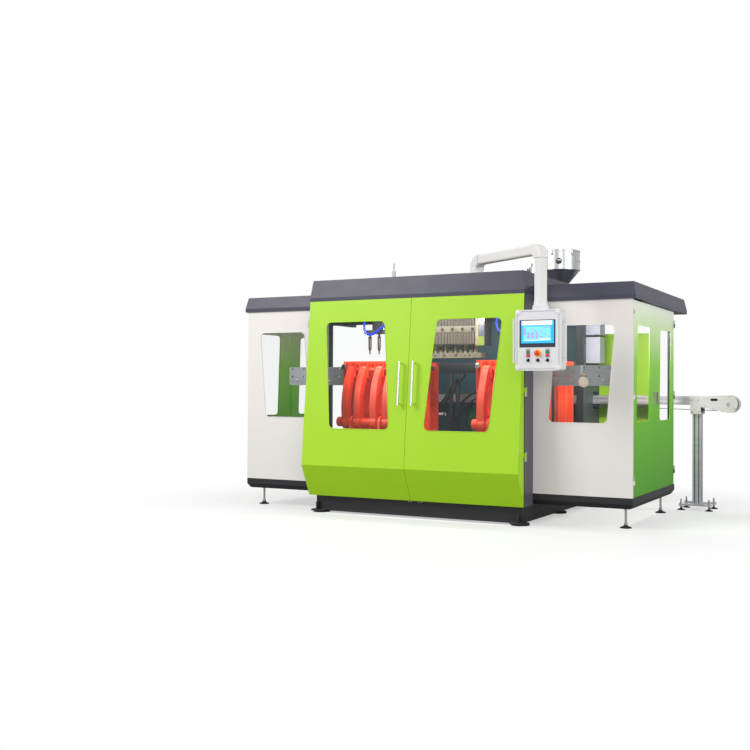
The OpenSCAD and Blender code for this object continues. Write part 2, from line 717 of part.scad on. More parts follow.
module die_lips() {
    color("#b5aea0") {
        for (i = [0 : cavities - 1]) {
            x = head_x + (i - (cavities - 1) / 2) * cavity_pitch;
            rod_z(lip_z, head_z, x - 22, mould_y, 31);
            rod_z(lip_z, head_z, x + 30, mould_y - 8, 20);
            rod_z(lip_z - 60, lip_z - 54, x, mould_y, 24);
        }
        difference() {
            block([head_x0 + 10, mould_y - 90, lip_z - 54], [head_x1 + 60, mould_y + 90, lip_z]);
            for (x = [head_x0 + 70 : 150 : head_x1]) rod_y(mould_y - 91, mould_y - 60, x, lip_z - 27, 9, $fn = 24);
        }
    }
}
module extruder() {
    color("#5f666b") {
        rod_y(mould_y - 60, gear_y, barrel_x, barrel_z, barrel_r);
        rod_x(head_x, barrel_x - barrel_r + 10, mould_y, barrel_z, 35);
        rod_z(head_top, barrel_z + 35, head_x, mould_y, 45);
        difference() {
            rod_z(barrel_z + barrel_r - 10, roof_top + 30, barrel_x, hopper_y, 88);
            rod_z(barrel_z + barrel_r, roof_top + 31, barrel_x, hopper_y, 70);
        }
        block([barrel_x - 170, gear_y, door_top], [barrel_x + 170, gear_y + 180, roof_top - 25]);
        rod_x(barrel_x - 670, barrel_x - 170, gear_y + 90, barrel_z, 95);
        for (y = [top_beams[2], top_beams[3]]) block([barrel_x - 30, y, door_top], [barrel_x + 30, y + 60, barrel_z - barrel_r + 10]);
    }
}
hopper_r = 225;
hopper_wall = 6;
hopper_cone = 190;
hopper_body = 210;
module hopper() {
    z0 = roof_top + 30;
    z1 = z0 + hopper_cone;
    z2 = z1 + hopper_body;
    r = hopper_r;
    bead = hopper_wall;
    color("#d5d8da") translate([barrel_x, hopper_y, 0]) {
        rotate_extrude() polygon([[72, z0], [120, z0], [120, z0 + 8], [88, z0 + 8], [88, z0 + 24],
            [r, z1], [r + bead, z1], [r + bead, z1 + 12], [r, z1 + 12], [r, z1 + 95], [r + bead, z1 + 95],
            [r + bead, z1 + 107], [r, z1 + 107], [r, z2], [r + bead, z2], [r + bead, z2 + 6],
            [r - bead, z2 + 6], [r - bead, z1 + 2], [72, z0 + 20]]);
        translate([0, 0, z2 + 6]) cylinder(r = r, h = 8);
    }
}
loader_h = 200;
filter_h = 190;
loader_in = 410;
module vacuum_loader() {
    y = 1500;
    x = half_w - loader_in;
    color("#b8bcc0") {
        rod_z(roof_top, roof_top + loader_h, x, y, 80);
        rod_z(roof_top + loader_h, roof_top + loader_h + 40, x, y, 60);
        block([x - 190, y - 60, roof_top], [x - 90, y + 60, roof_top + filter_h]);
    }
}
module signal_lamp() {
    color("#dedede") {
        rod_z(roof_top, roof_top + 130, -510, 600, 22);
        rod_z(roof_top + 130, roof_top + 215, -510, 600, 11);
    }
}

pins_span = (cavities - 1) * cavity_pitch / 2;
module blow_units() {
    z1 = door_top - post;
    color("#26282c") for (x = stations) {
        block([x - 240, mould_y + 70, 1960], [x + 240, mould_y + 110, z1 - 30]);
        difference() {
            union() {
                block([x - 240, top_beams[1] + 10, z1 - 30], [x + 240, top_beams[2] + 70, z1]);
                for (s = [-60, 60]) rod_z(1985, z1 - 30, x + s, mould_y, 26);
            }
            for (s = [-60, 60]) rod_z(1980, z1 + 1, x + s, mould_y, 10 + run);
        }
    }
}
module blow_pins(x) {
    color("#8d8b86") {
        for (i = [0 : cavities - 1]) translate([x - pins_span + i * cavity_pitch, mould_y, pin_z])
            rotate_extrude() polygon([[0, 0], [7, 0], [7, 30], [18, 62], [18, 180], [12, 180], [12, 225], [0, 225]]);
        block([x - pins_span - 40, mould_y - 60, pin_z + 225], [x + pins_span + 40, mould_y + 60, pin_z + 265]);
        for (s = [-60, 60]) rod_z(pin_z + 265, door_top + 5, x + s, mould_y, 10);
    }
}
module left_blow_pins() { blow_pins(left_x); }
module right_blow_pins() { blow_pins(right_x); }

// Hanging air hose in a plane of constant Y, swept along points chosen by hand, each [x, z] from its station
hose_r = 12;
hose_y = 655;
hose_route = [[-225, 2115], [-225, 2095], [-232, 2068], [-246, 2036], [-252, 2000], [-250, 1965], [-240, 1935], [-220, 1914], [-186, 1904],
    [-150, 1906], [-116, 1920], [-84, 1942], [-52, 1966], [-18, 1990], [16, 2014], [46, 2042], [68, 2070], [76, 2095], [76, 2115]];
module hose(x) {
    sides = 8;
    n = len(hose_route);
    rings = [for (i = [0 : n - 1])
        let (a = hose_route[max(i - 1, 0)], b = hose_route[min(i + 1, n - 1)], t = (b - a) / norm(b - a))
        for (k = [0 : sides - 1])
            let (c = hose_r * cos(360 * k / sides), d = hose_r * sin(360 * k / sides))
            [x + hose_route[i][0] - t[1] * c, hose_y + d, hose_route[i][1] + t[0] * c]];
    polyhedron(rings, concat(
        [[for (k = [0 : sides - 1]) k]],
        [for (i = [0 : n - 2], k = [0 : sides - 1])
            let (k2 = (k + 1) % sides, p = i * sides, q = p + sides) [p + k, q + k, q + k2, p + k2]],
        [[for (k = [0 : sides - 1]) n * sides - 1 - k]]));
}
module air_hoses() { color("#1546d6") for (x = stations) hose(x); }

conveyor_x0 = -900;
side_t = 6;
side_gap = 15;
stand_x = 2340;
tail_x = conveyor_x0 + 40;
tail_r = 30;
belt_t = 3;
belt_clear = 0.3;
axle_r = 12;
drum_z = belt_z - drum_r;
// Round end plate of one side of the conveyor
module conveyor_end() {
    difference() {
        union() {
            translate([belt_end, drum_z]) circle(r = drum_r + 18);
            polygon([[stand_x - 60, belt_z - 90], [stand_x - 60, belt_z + 6], [belt_end, belt_z + 18],
                [belt_end, drum_z - drum_r - 18]]);
        }
        translate([belt_end, drum_z]) circle(r = axle_r + run);
        for (x = [-175, -125]) translate([belt_end + x, belt_z - 32]) circle(r = 14);
        translate([belt_end - 175, belt_z - 46]) square([50, 28]);
    }
}
module conveyor_frame() {
    y0 = belt_y - belt_w / 2 - side_gap;
    y1 = belt_y + belt_w / 2 + side_gap;
    color("#c3c5ca") {
        for (y = [y0, y1 - side_t]) {
            block([conveyor_x0, y, belt_z - 90], [stand_x - 60, y + side_t, belt_z + 6]);
            upright(y, side_t) conveyor_end();
        }
        for (y = [y0 - 12, y1], z = [belt_z - 78, belt_z - 22])
            block([conveyor_x0, y, z], [stand_x - 60, y + 12, z + 24]);
        for (x = [conveyor_x0 + 100 : 600 : 2200])
            block([x, y0 + side_t, belt_z - 45], [x + 40, y1 - side_t, belt_z - 12]);
        block([tail_x + tail_r, belt_y - belt_w / 2 + 10, belt_z - 12], [belt_end - drum_r, belt_y + belt_w / 2 - 10, belt_z - belt_t - belt_clear]);
        rod_y(y0 + side_t, y1 - side_t, tail_x, belt_z - tail_r, tail_r - belt_t - belt_clear);
        for (x = [-600, 600]) block([x, y0 - 20, door_bottom], [x + 60, y0, belt_z - 20]);
        block([conveyor_x0 - 40, y0, belt_z - 90], [conveyor_x0, y1, belt_z + 6]);
    }
}
// The belt: an endless band round the end drum and the tail bar
module conveyor_belt() {
    module loop(r) {
        hull() {
            translate([belt_end, drum_z]) circle(r = r + drum_r);
            translate([tail_x, belt_z - tail_r]) circle(r = r + tail_r);
        }
    }
    color("#5c5f66") upright(belt_y - belt_w / 2, belt_w) difference() {
        loop(0);
        loop(-belt_t);
    }
}
module conveyor_drum() {
    axle = belt_w / 2 + side_gap + 4;
    color("#9a9ca2") {
        rod_y(belt_y - belt_w / 2, belt_y + belt_w / 2, belt_end, drum_z, drum_r - belt_t - belt_clear);
        rod_y(belt_y - axle, belt_y + axle, belt_end, drum_z, axle_r);
        for (s = [-1, 1]) translate([0, belt_y + s * (axle - 1.9), 0]) rod_y(-1.6, 1.6, belt_end, drum_z, 24);
    }
}
module conveyor_stand() {
    x = stand_x;
    a = 47;
    color("#c3c5ca") {
        difference() {
            block([x - a, belt_y - a, 70], [x + a, belt_y + a, belt_z - 190]);
            for (r = [0 : 90 : 270]) translate([x, belt_y, 0]) rotate(r) for (s = [-22, 22])
                block([a - 8, s - 5, 69], [a + 1, s + 5, belt_z]);
        }
        block([x - 55, belt_y - belt_w / 2 - 21, belt_z - 190], [x + 55, belt_y + belt_w / 2 + 21, belt_z - 170]);
        for (y = [belt_y - belt_w / 2 - 21, belt_y + belt_w / 2 + 15])
            block([x - 55, y, belt_z - 170], [x + 55, y + 6, belt_z - 10]);
        for (s = [-1, 1]) block([x - 170, belt_y + s * 140 - 25, 50], [x + 170, belt_y + s * 140 + 25, 70]);
        block([x - 60, belt_y - 165, 50], [x + 60, belt_y + 165, 70]);
        for (sx = [-1, 1], sy = [-1, 1]) foot(x + sx * 148, belt_y + sy * 140, 42, 50, 8);
    }
}

base_plinth();
levelling_feet();
main_frame();
main_roof();
rear_panel();
cabin_frames();
left_cabin_front();
right_cabin_front();
cabin_glass();
side_roofs();
left_door();
left_door_glass();
left_door_handle();
right_door();
right_door_glass();
right_door_handle();
door_hinges();
left_end_door_front();
left_end_door_rear();
right_end_door_front();
right_end_door_rear();
boom_base();
boom_arm();
hmi_housing();
hmi_screen();
start_button_left();
stop_button_left();
start_button_right();
stop_button_right();
emergency_stop();
selector_left();
selector_middle();
selector_right();
left_carriage();
left_tie_bars();
left_front_platen();
left_rear_platen();
left_arms();
right_carriage();
right_tie_bars();
right_front_platen();
right_rear_platen();
right_arms();
left_beam();
right_beam();
rail_bed();
die_head();
die_lips();
extruder();
hopper();
vacuum_loader();
blow_units();
left_blow_pins();
right_blow_pins();
air_hoses();
conveyor_frame();
conveyor_belt();
conveyor_drum();
conveyor_stand();
signal_lamp();
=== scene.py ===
# %% [markdown]
# # A blow moulding machine, dressed for its portrait
# The machine's solids come ready made: cabinet, doors, clamps, die head, operator panel and conveyor.
# This lesson gives every surface its paint, metal or plastic, and adds the small things that a maker
# fits last: seals, screws, the panel's screen, cable bundles and hoses.

# %% Load the frame
import math

import bpy
from mathutils import Matrix, Vector


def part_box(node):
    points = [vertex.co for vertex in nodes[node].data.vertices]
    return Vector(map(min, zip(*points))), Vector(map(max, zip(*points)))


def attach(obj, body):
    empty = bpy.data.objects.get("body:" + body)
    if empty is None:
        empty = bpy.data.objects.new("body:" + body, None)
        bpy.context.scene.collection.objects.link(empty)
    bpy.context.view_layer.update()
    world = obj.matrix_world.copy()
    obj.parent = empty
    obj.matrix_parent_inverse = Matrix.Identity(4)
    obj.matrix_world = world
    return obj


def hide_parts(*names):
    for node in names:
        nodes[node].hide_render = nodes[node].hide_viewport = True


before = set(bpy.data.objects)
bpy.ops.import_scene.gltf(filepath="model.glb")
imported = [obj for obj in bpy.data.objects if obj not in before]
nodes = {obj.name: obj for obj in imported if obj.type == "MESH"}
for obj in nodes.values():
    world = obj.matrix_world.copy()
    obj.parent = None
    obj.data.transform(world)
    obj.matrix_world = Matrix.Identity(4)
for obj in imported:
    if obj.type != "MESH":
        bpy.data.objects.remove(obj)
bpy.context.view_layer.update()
bpy.context.scene.view_settings.view_transform = "Standard"

# %% [markdown]
# ## The camera
# The photograph was taken from the right of the machine, at about a person's chest height. The camera
# stands at that place. Its lens and its three angles were worked out from the corners of the cabinets.

# %% Camera
EYE = Vector((4.6113, -9.3715, 1.2937))
YAW, PITCH, ROLL = (math.radians(a) for a in (28.198, 0.834, 0.303))
LENS = 49.798


def camera_axes(yaw, pitch, roll):
    """Right, up and forward of a camera that is turned left by yaw, tipped up by pitch and then rolled."""
    forward = Vector((-math.sin(yaw) * math.cos(pitch), math.cos(yaw) * math.cos(pitch), math.sin(pitch)))
    level = Vector((math.cos(yaw), math.sin(yaw), 0))
    up = level.cross(forward)
    right = level * math.cos(roll) + up * math.sin(roll)
    return right, up * math.cos(roll) - level * math.sin(roll), forward


bpy.ops.object.camera_add()
camera = bpy.context.object
camera.name = "camera"
right_axis, up_axis, forward_axis = camera_axes(YAW, PITCH, ROLL)
turn = Matrix((right_axis, up_axis, -forward_axis)).transposed().to_4x4()
camera.matrix_world = Matrix.Translation(EYE) @ turn
camera.data.lens = LENS
camera.data.sensor_width = 36
camera.data.clip_end = 200
bpy.context.scene.camera = camera

# %% [markdown]
# ## Light and floor
# A product picture of a large machine has soft light from all round. The world gives most of it. The
# camera sees a brighter, plain white one, also through the panes. One wide lamp from the upper left
# models the folds, a weaker one from the right lights the end wall, and a third fills the shade in
# front. The inside would be a black hole, so strip lamps hang under the roof over the front bay, the
# rear bay and the right cabin.

# %% World
scene = bpy.context.scene
world = bpy.data.worlds.new("studio")
scene.world = world
world.use_nodes = True
tree = world.node_tree
tree.nodes.clear()
sky_light = tree.nodes.new("ShaderNodeBackground")
sky_light.inputs["Color"].default_value = (1, 1, 1, 1)
sky_light.inputs["Strength"].default_value = 0.66
backdrop = tree.nodes.new("ShaderNodeBackground")
backdrop.inputs["Color"].default_value = (1, 1, 1, 1)
backdrop.inputs["Strength"].default_value = 1.0
path = tree.nodes.new("ShaderNodeLightPath")
seen = tree.nodes.new("ShaderNodeMath")
seen.operation = "MAXIMUM"
choose = tree.nodes.new("ShaderNodeMixShader")
output = tree.nodes.new("ShaderNodeOutputWorld")
tree.links.new(path.outputs["Is Camera Ray"], seen.inputs[0])
tree.links.new(path.outputs["Is Transmission Ray"], seen.inputs[1])
tree.links.new(seen.outputs[0], choose.inputs["Fac"])
tree.links.new(sky_light.outputs[0], choose.inputs[1])
tree.links.new(backdrop.outputs[0], choose.inputs[2])
tree.links.new(choose.outputs[0], output.inputs["Surface"])

# %% [markdown]
# An area lamp gives the soft edge of shade that a studio's softbox does. One helper points each lamp at
# what it has to light, so a lamp is a single line below.


# %% Lamps
def area_lamp(name, place, target, size, power, height=None):
    """A lamp at a place that points at a target: square, or a strip if a height is given."""
    bpy.ops.object.light_add(type="AREA", location=place)
    lamp = bpy.context.object
    lamp.name = name
    lamp.data.size = size
    if height:
        lamp.data.shape = "RECTANGLE"
        lamp.data.size_y = height
    lamp.data.energy = power
    lamp.rotation_euler = (Vector(target) - Vector(place)).to_track_quat("-Z", "Y").to_euler()


area_lamp("key_lamp", (-4.5, -6.0, 6.0), (0, 0, 1.2), 4.0, 450)
area_lamp("right_lamp", (9.5, -1.5, 4.5), (2.2, 1.2, 1.4), 4.0, 260)
area_lamp("front_lamp", (4.6, -7.4, 2.2), (1.6, 0.4, 1.0), 4.0, 115)
area_lamp("bay_lamp", (0.0, 0.26, 2.13), (0.0, 0.62, 1.2), 2.0, 30, 0.16)
area_lamp("rear_bay_lamp", (0.0, 1.50, 2.12), (0.0, 2.3, 1.1), 2.0, 15, 0.2)
area_lamp("right_bay_lamp", (1.70, 0.58, 2.13), (1.66, 2.2, 1.1), 0.6, 26, 0.2)

# %% [markdown]
# ## Materials
# Each finish is a Principled shader with its own small structure. Powder coat has a fine orange peel,
# castings are rougher under their enamel, milled plate is drawn out along its cutting direction.
# A colour is written as it is read off a screen, and this helper turns it into linear light.


# %% Colours and a first material
def paint_value(r, g, b):
    """Linear light from a colour given in 0 to 255."""
    parts = [v / 255 for v in (r, g, b)]
    return tuple(v / 12.92 if v <= 0.04045 else ((v + 0.055) / 1.055) ** 2.4 for v in parts)


def finish_of(name, colour, roughness, metallic=0.0, coat=0.0):
    """A material with plain values on its shader's sockets."""
    material = bpy.data.materials.new(name)
    material.use_nodes = True
    shader = material.node_tree.nodes["Principled BSDF"]
    shader.inputs["Base Color"].default_value = (*paint_value(*colour), 1)
    shader.inputs["Roughness"].default_value = roughness
    shader.inputs["Metallic"].default_value = metallic
    shader.inputs["Coat Weight"].default_value = coat
    shader.inputs["Coat Roughness"].default_value = 0.12
    return material


# %% [markdown]
# A plain shader looks like a toy. Real finishes wander a little in tone, gloss and relief. Noise on the
# piece's own coordinates does this with no picture, and it keeps its real size on every piece.


# %% Tone, gloss and relief
def object_noise(material, scale, stretch=(1, 1, 1), detail=4.0):
    """Noise on the piece's own coordinates, in metres, drawn out along an axis if stretch says so."""
    tree = material.node_tree
    where = tree.nodes.new("ShaderNodeTexCoord")
    mapping = tree.nodes.new("ShaderNodeMapping")
    mapping.inputs["Scale"].default_value = stretch
    noise = tree.nodes.new("ShaderNodeTexNoise")
    noise.inputs["Scale"].default_value = scale
    noise.inputs["Detail"].default_value = detail
    tree.links.new(where.outputs["Object"], mapping.inputs["Vector"])
    tree.links.new(mapping.outputs["Vector"], noise.inputs["Vector"])
    return noise


def colour_from(material, value, tones):
    """Colours a material by a value from 0 to 1. The tones are (position, colour) pairs."""
    tree = material.node_tree
    ramp = tree.nodes.new("ShaderNodeValToRGB")
    while len(ramp.color_ramp.elements) < len(tones):
        ramp.color_ramp.elements.new(0.5)
    for element, (position, tone) in zip(ramp.color_ramp.elements, tones):
        element.position = position
        element.color = (*paint_value(*tone), 1)
    tree.links.new(value, ramp.inputs["Fac"])
    tree.links.new(ramp.outputs["Color"], tree.nodes["Principled BSDF"].inputs["Base Color"])


def relief_from(material, value, depth):
    """Raises a material's surface by a value. The depth is in metres."""
    tree = material.node_tree
    bump = tree.nodes.new("ShaderNodeBump")
    bump.inputs["Distance"].default_value = depth
    bump.inputs["Strength"].default_value = 0.6
    tree.links.new(value, bump.inputs["Height"])
    tree.links.new(bump.outputs["Normal"], tree.nodes["Principled BSDF"].inputs["Normal"])


def add_mottle(material, colour, other, scale, stretch=(1, 1, 1)):
    """Lets the base colour wander between two tones."""
    noise = object_noise(material, scale, stretch)
    colour_from(material, noise.outputs["Fac"], [(0.35, colour), (0.65, other)])


def add_bump(material, scale, depth, stretch=(1, 1, 1), detail=3.0):
    """A fine relief of the given depth in metres."""
    noise = object_noise(material, scale, stretch, detail)
    relief_from(material, noise.outputs["Fac"], depth)


def add_roughness(material, scale, low, high, stretch=(1, 1, 1)):
    """Lets the gloss vary between two values."""
    tree = material.node_tree
    noise = object_noise(material, scale, stretch)
    span = tree.nodes.new("ShaderNodeMapRange")
    span.inputs["To Min"].default_value = low
    span.inputs["To Max"].default_value = high
    tree.links.new(noise.outputs["Fac"], span.inputs["Value"])
    tree.links.new(span.outputs["Result"], tree.nodes["Principled BSDF"].inputs["Roughness"])


# %% [markdown]
# ### Painted sheet
# All the sheets are powder coated. The front doors are a bright lime green. The end doors carry painted
# light:
# their green runs from a painted highlight, pale at the top, to painted shade, deep green below.


# %% Painted sheet
ORANGE_PEEL = (700, 0.00012)


def powder_coat(name, colour, other, roughness):
    """Baked paint: a wide mottle, an orange peel, and a gloss that varies a little."""
    material = finish_of(name, colour, roughness)
    add_mottle(material, colour, other, 0.8)
    add_bump(material, *ORANGE_PEEL)
    add_roughness(material, 6, roughness - 0.06, roughness + 0.06)
    return material


lime = powder_coat("lime_powder_coat", (166, 214, 18), (161, 210, 16), 0.5)
white_coat = powder_coat("white_powder_coat", (232, 227, 223), (227, 223, 220), 0.5)
slate = powder_coat("slate_powder_coat", (62, 61, 80), (57, 56, 74), 0.42)
trim_grey = powder_coat("grey_powder_coat", (84, 82, 94), (79, 77, 88), 0.45)
black_coat = powder_coat("black_powder_coat", (36, 36, 40), (30, 30, 34), 0.45)
teal_coat = powder_coat("teal_enamel", (34, 78, 86), (28, 64, 72), 0.5)
panel_white = powder_coat("panel_enamel", (222, 222, 224), (217, 217, 219), 0.34)
boom_white = powder_coat("boom_enamel", (226, 225, 222), (221, 219, 216), 0.36)
lamp_white = powder_coat("lamp_plastic", (214, 214, 214), (206, 206, 206), 0.3)

# %% [markdown]
# In the end doors the green is painted darker towards the floor, as painted shade where less light reaches
# them, and nearly white at the top, as a painted highlight. The paint follows the height on the wall, so
# both half doors share one run of tones.


# %% Leaf green with painted shade and highlight
def painted_light_leaf_coat():
    """Green paint with painted shade low and a painted highlight high on the end wall."""
    material = finish_of("painted_light_leaf_powder_coat", (110, 185, 50), 0.5)
    tree = material.node_tree
    where = tree.nodes.new("ShaderNodeTexCoord")
    split = tree.nodes.new("ShaderNodeSeparateXYZ")
    height = tree.nodes.new("ShaderNodeMapRange")
    height.inputs["From Min"].default_value = 0.3
    height.inputs["From Max"].default_value = 2.2
    tree.links.new(where.outputs["Object"], split.inputs["Vector"])
    tree.links.new(split.outputs["Z"], height.inputs["Value"])
    # The deep greens low down are painted shade, and the near whites at the top are a painted highlight.
    tones = [(0.0, (78, 158, 8)), (0.4, (104, 188, 8)), (0.66, (140, 210, 60)),
             (0.84, (206, 236, 172)), (1.0, (246, 250, 240))]
    colour_from(material, height.outputs["Result"], tones)
    add_bump(material, *ORANGE_PEEL)
    return material


painted_light_leaf = painted_light_leaf_coat()

# %% [markdown]
# ### Castings, plate and machined metal
# The clamps are castings under thick red enamel, so the surface waves a little. Plates are milled and
# bars are ground: noise that is drawn out along one axis gives their cutting lines. The milled carrier
# plates look dull, so their metallic value is lowered afterwards.


# %% Metals
def metal(name, colour, other, roughness, stretch=(1, 1, 1), scale=60.0, depth=0.00008):
    """Bare metal, with its grain drawn out by the stretch."""
    material = finish_of(name, colour, roughness, metallic=1.0)
    add_mottle(material, colour, other, scale, stretch)
    add_roughness(material, scale * 2, max(roughness - 0.08, 0.03), roughness + 0.08, stretch)
    if depth:
        add_bump(material, scale * 4, depth, stretch)
    return material


red_enamel = finish_of("red_enamel", (252, 72, 28), 0.46, coat=0.08)
add_mottle(red_enamel, (246, 58, 24), (250, 82, 38), 5)
add_bump(red_enamel, 45, 0.0012)
ground_steel = metal("ground_steel", (188, 186, 184), (170, 168, 168), 0.25, (1, 0.05, 1))
milled_plate = metal("milled_plate", (168, 170, 174), (150, 152, 158), 0.5, (0.1, 1, 1))
mould_steel = metal("mould_steel", (176, 176, 174), (158, 158, 158), 0.35, (1, 1, 0.1))
bright_steel = metal("bright_steel", (226, 222, 214), (206, 202, 196), 0.2, (1, 1, 0.06))
pull_metal = metal("pull_metal", (240, 234, 244), (228, 222, 236), 0.3, scale=30, depth=0)
stainless = metal("stainless_steel", (224, 227, 226), (192, 196, 195), 0.30, (1, 1, 0.05), scale=9, depth=0)
anodised = metal("anodised_profile", (222, 224, 230), (208, 210, 217), 0.42, (0.03, 1, 1))
dark_iron = powder_coat("dark_iron", (44, 44, 48), (34, 34, 38), 0.5)
pale_grey = powder_coat("pale_grey_enamel", (188, 190, 204), (178, 180, 195), 0.4)
green_enamel = powder_coat("green_enamel", (62, 140, 84), (52, 122, 74), 0.45)
machine_grey = powder_coat("machine_grey", (92, 98, 102), (84, 90, 94), 0.4)
pin_brown = metal("pin_brown", (138, 122, 112), (118, 104, 96), 0.36, (1, 1, 0.2))
zinc = metal("zinc_plate", (198, 196, 190), (184, 182, 178), 0.34, scale=90)
milled_plate.node_tree.nodes["Principled BSDF"].inputs["Metallic"].default_value = 0.6

# %% [markdown]
# ### The die head's steel
# Heat has turned the head tan, and upright fins stand on its face. A wave texture draws them in colour
# and relief, with painted shade darkening the grooves between the fins, because hundreds of thin plates
# would cost more than they show at this distance.


# %% Finned steel and heated plates
def add_fins(material, crest, groove_shade, pitch, depth):
    """Upright fins at a pitch in metres: pale crests with painted shade in the grooves, in colour and relief.
    """
    tree = material.node_tree
    where = tree.nodes.new("ShaderNodeTexCoord")
    wave = tree.nodes.new("ShaderNodeTexWave")
    wave.inputs["Scale"].default_value = math.pi / (10 * pitch)
    tree.links.new(where.outputs["Object"], wave.inputs["Vector"])
    colour_from(material, wave.outputs["Fac"], [(0.1, groove_shade), (0.5, crest)])
    relief_from(material, wave.outputs["Fac"], depth)


tan_steel = finish_of("tan_steel", (104, 94, 80), 0.55)
# The dark second tone is painted shade in the grooves between the fins.
add_fins(tan_steel, (112, 101, 88), (40, 36, 30), 0.0182, 0.003)
tan_plate = finish_of("tan_plate", (98, 92, 74), 0.6)
add_mottle(tan_plate, (104, 97, 80), (88, 82, 66), 18)
add_bump(tan_plate, 300, 0.00015)
shell_plate = finish_of("shell_plate", (140, 128, 104), 0.5)
add_mottle(shell_plate, (144, 132, 108), (120, 108, 88), 14)
cream_plate = finish_of("cream_plate", (232, 222, 200), 0.35, metallic=0.3)
add_mottle(cream_plate, (236, 226, 206), (214, 204, 184), 12)
print("finishes so far:", len(bpy.data.materials))

# %% [markdown]
# ### Plastics, rubber and glazing
# The panes are clear polycarbonate. A low alpha lets the light pass in and out, and the shader still
# gives a faint reflection.


# %% Plastics
def plastic(name, colour, roughness, grain=900):
    """Moulded plastic or rubber: a fine grain and a slightly darker second tone."""
    material = finish_of(name, colour, roughness)
    add_mottle(material, colour, tuple(max(v - 8, 0) for v in colour), 20)
    add_bump(material, grain, 0.00006)
    return material


rubber_black = plastic("black_rubber", (26, 26, 28), 0.7)
green_plastic = plastic("green_plastic", (18, 140, 84), 0.3)
red_plastic = plastic("red_plastic", (226, 58, 52), 0.3)
stop_red = plastic("stop_red", (236, 66, 30), 0.26)
stop_yellow = plastic("stop_yellow", (250, 196, 22), 0.4)
knob_black = plastic("knob_black", (20, 20, 24), 0.25)
bezel_grey = plastic("bezel_grey", (50, 50, 72), 0.35)
# A dark grey for painted shade inside the grooves of the conveyor's column.
slot_shade_dark = plastic("slot_shade_dark", (56, 60, 68), 0.6)
belt_grey = plastic("belt_grey", (104, 106, 112), 0.6, 300)
hose_blue = plastic("hose_blue", (8, 52, 206), 0.24)
hose_black = plastic("hose_black", (24, 24, 26), 0.45)
clear_pane = finish_of("clear_pane", (150, 164, 168), 0.05)
clear_pane.node_tree.nodes["Principled BSDF"].inputs["Alpha"].default_value = 0.04
add_roughness(clear_pane, 3, 0.03, 0.08)

# %% [markdown]
# ## Dressing the solids
# Most solids take one finish. Some hold two things at once, such as a platen with its mould half, or an
# end door with its pane and pull. Splitting them would leave open edges, so their faces are told apart
# by where they lie.


# %% Finish by name, or by the place of a face
def dress(name, material, *rules):
    """Gives a solid its finish. A rule is (material, test), and a test is given a face's middle."""
    mesh = nodes[name].data
    mesh.materials.clear()
    mesh.materials.append(material)
    for other, _ in rules:
        mesh.materials.append(other)
    for face in mesh.polygons:
        face.material_index = 0
        for i, (_, test) in enumerate(rules):
            if test(face.center):
                face.material_index = i + 1


PLAIN = {
    "base_plinth": black_coat, "main_roof": slate, "cabin_frames": black_coat, "side_roofs": slate,
    "left_cabin_front": white_coat, "right_cabin_front": white_coat, "cabin_glass": clear_pane,
    "left_door": lime, "right_door": lime, "left_door_glass": clear_pane, "right_door_glass": clear_pane,
    "left_door_handle": pull_metal, "right_door_handle": pull_metal, "door_hinges": zinc,
    "boom_base": boom_white, "boom_arm": boom_white, "hmi_housing": panel_white, "hmi_screen": bezel_grey,
    "start_button_left": green_plastic, "start_button_right": green_plastic,
    "stop_button_left": red_plastic, "stop_button_right": red_plastic, "emergency_stop": stop_red,
    "selector_left": knob_black, "selector_middle": knob_black, "selector_right": knob_black,
    "left_carriage": red_enamel, "right_carriage": red_enamel, "left_arms": red_enamel,
    "right_arms": red_enamel, "left_beam": milled_plate, "right_beam": milled_plate, "rail_bed": dark_iron,
    "extruder": machine_grey, "hopper": stainless, "vacuum_loader": stainless, "blow_units": dark_iron,
    "air_hoses": hose_blue, "conveyor_belt": belt_grey, "conveyor_drum": anodised,
    "signal_lamp": lamp_white,
}
for name, material in PLAIN.items():
    dress(name, material)
print("plain solids:", len(PLAIN))

# %% [markdown]
# ### The clamps
# The mould halves and the rear ram are bare steel in red castings, and the clamping cylinder behind the
# tie bars is grey. The blow pins are brown below and their rods are ground. A plane between two things
# is all that a rule needs here.

# %% Clamps, pins and tie bars
SIDES = (("left", -1), ("right", 1))
MOULD_FRONT, MOULD_REAR, RAM_Y = 0.5203, 0.9797, 1.071
CYLINDER_Y = 1.235
PIN_TOP, ROD_FOOT = 1.9145, 1.956
for side, _ in SIDES:
    dress(f"{side}_front_platen", red_enamel, (mould_steel, lambda p: p.y > MOULD_FRONT))
    dress(f"{side}_rear_platen", red_enamel, (mould_steel, lambda p: p.y < MOULD_REAR or p.y > RAM_Y))
    dress(f"{side}_tie_bars", ground_steel, (machine_grey, lambda p: p.y > CYLINDER_Y))
    dress(f"{side}_blow_pins", dark_iron,
          (pin_brown, lambda p: p.z < PIN_TOP), (ground_steel, lambda p: p.z > ROD_FOOT))

# %% [markdown]
# ### The end doors
# Each end of the machine has two half doors of green sheet, with a clear pane behind a flanged window
# and a zinc pull outside. The pane's faces lie inside the sheet's outer skin, the pull's beyond it.

# %% End doors
END_SKIN, END_PULL = 2.1661, 2.1703
END_PANES = (("front", 0.36, 0.93), ("rear", 1.29, 1.86))
PANE_Z = (0.98, 1.945)


def pane_test(y0, y1):
    """A test for the faces of an end door's pane, between two depths."""
    return lambda p: abs(p.x) < END_SKIN and y0 < p.y < y1 and PANE_Z[0] < p.z < PANE_Z[1]


for side, _ in SIDES:
    for end, y0, y1 in END_PANES:
        dress(f"{side}_end_door_{end}", painted_light_leaf,
              (clear_pane, pane_test(y0, y1)), (zinc, lambda p: abs(p.x) > END_PULL))
print("end doors:", len(SIDES) * len(END_PANES))
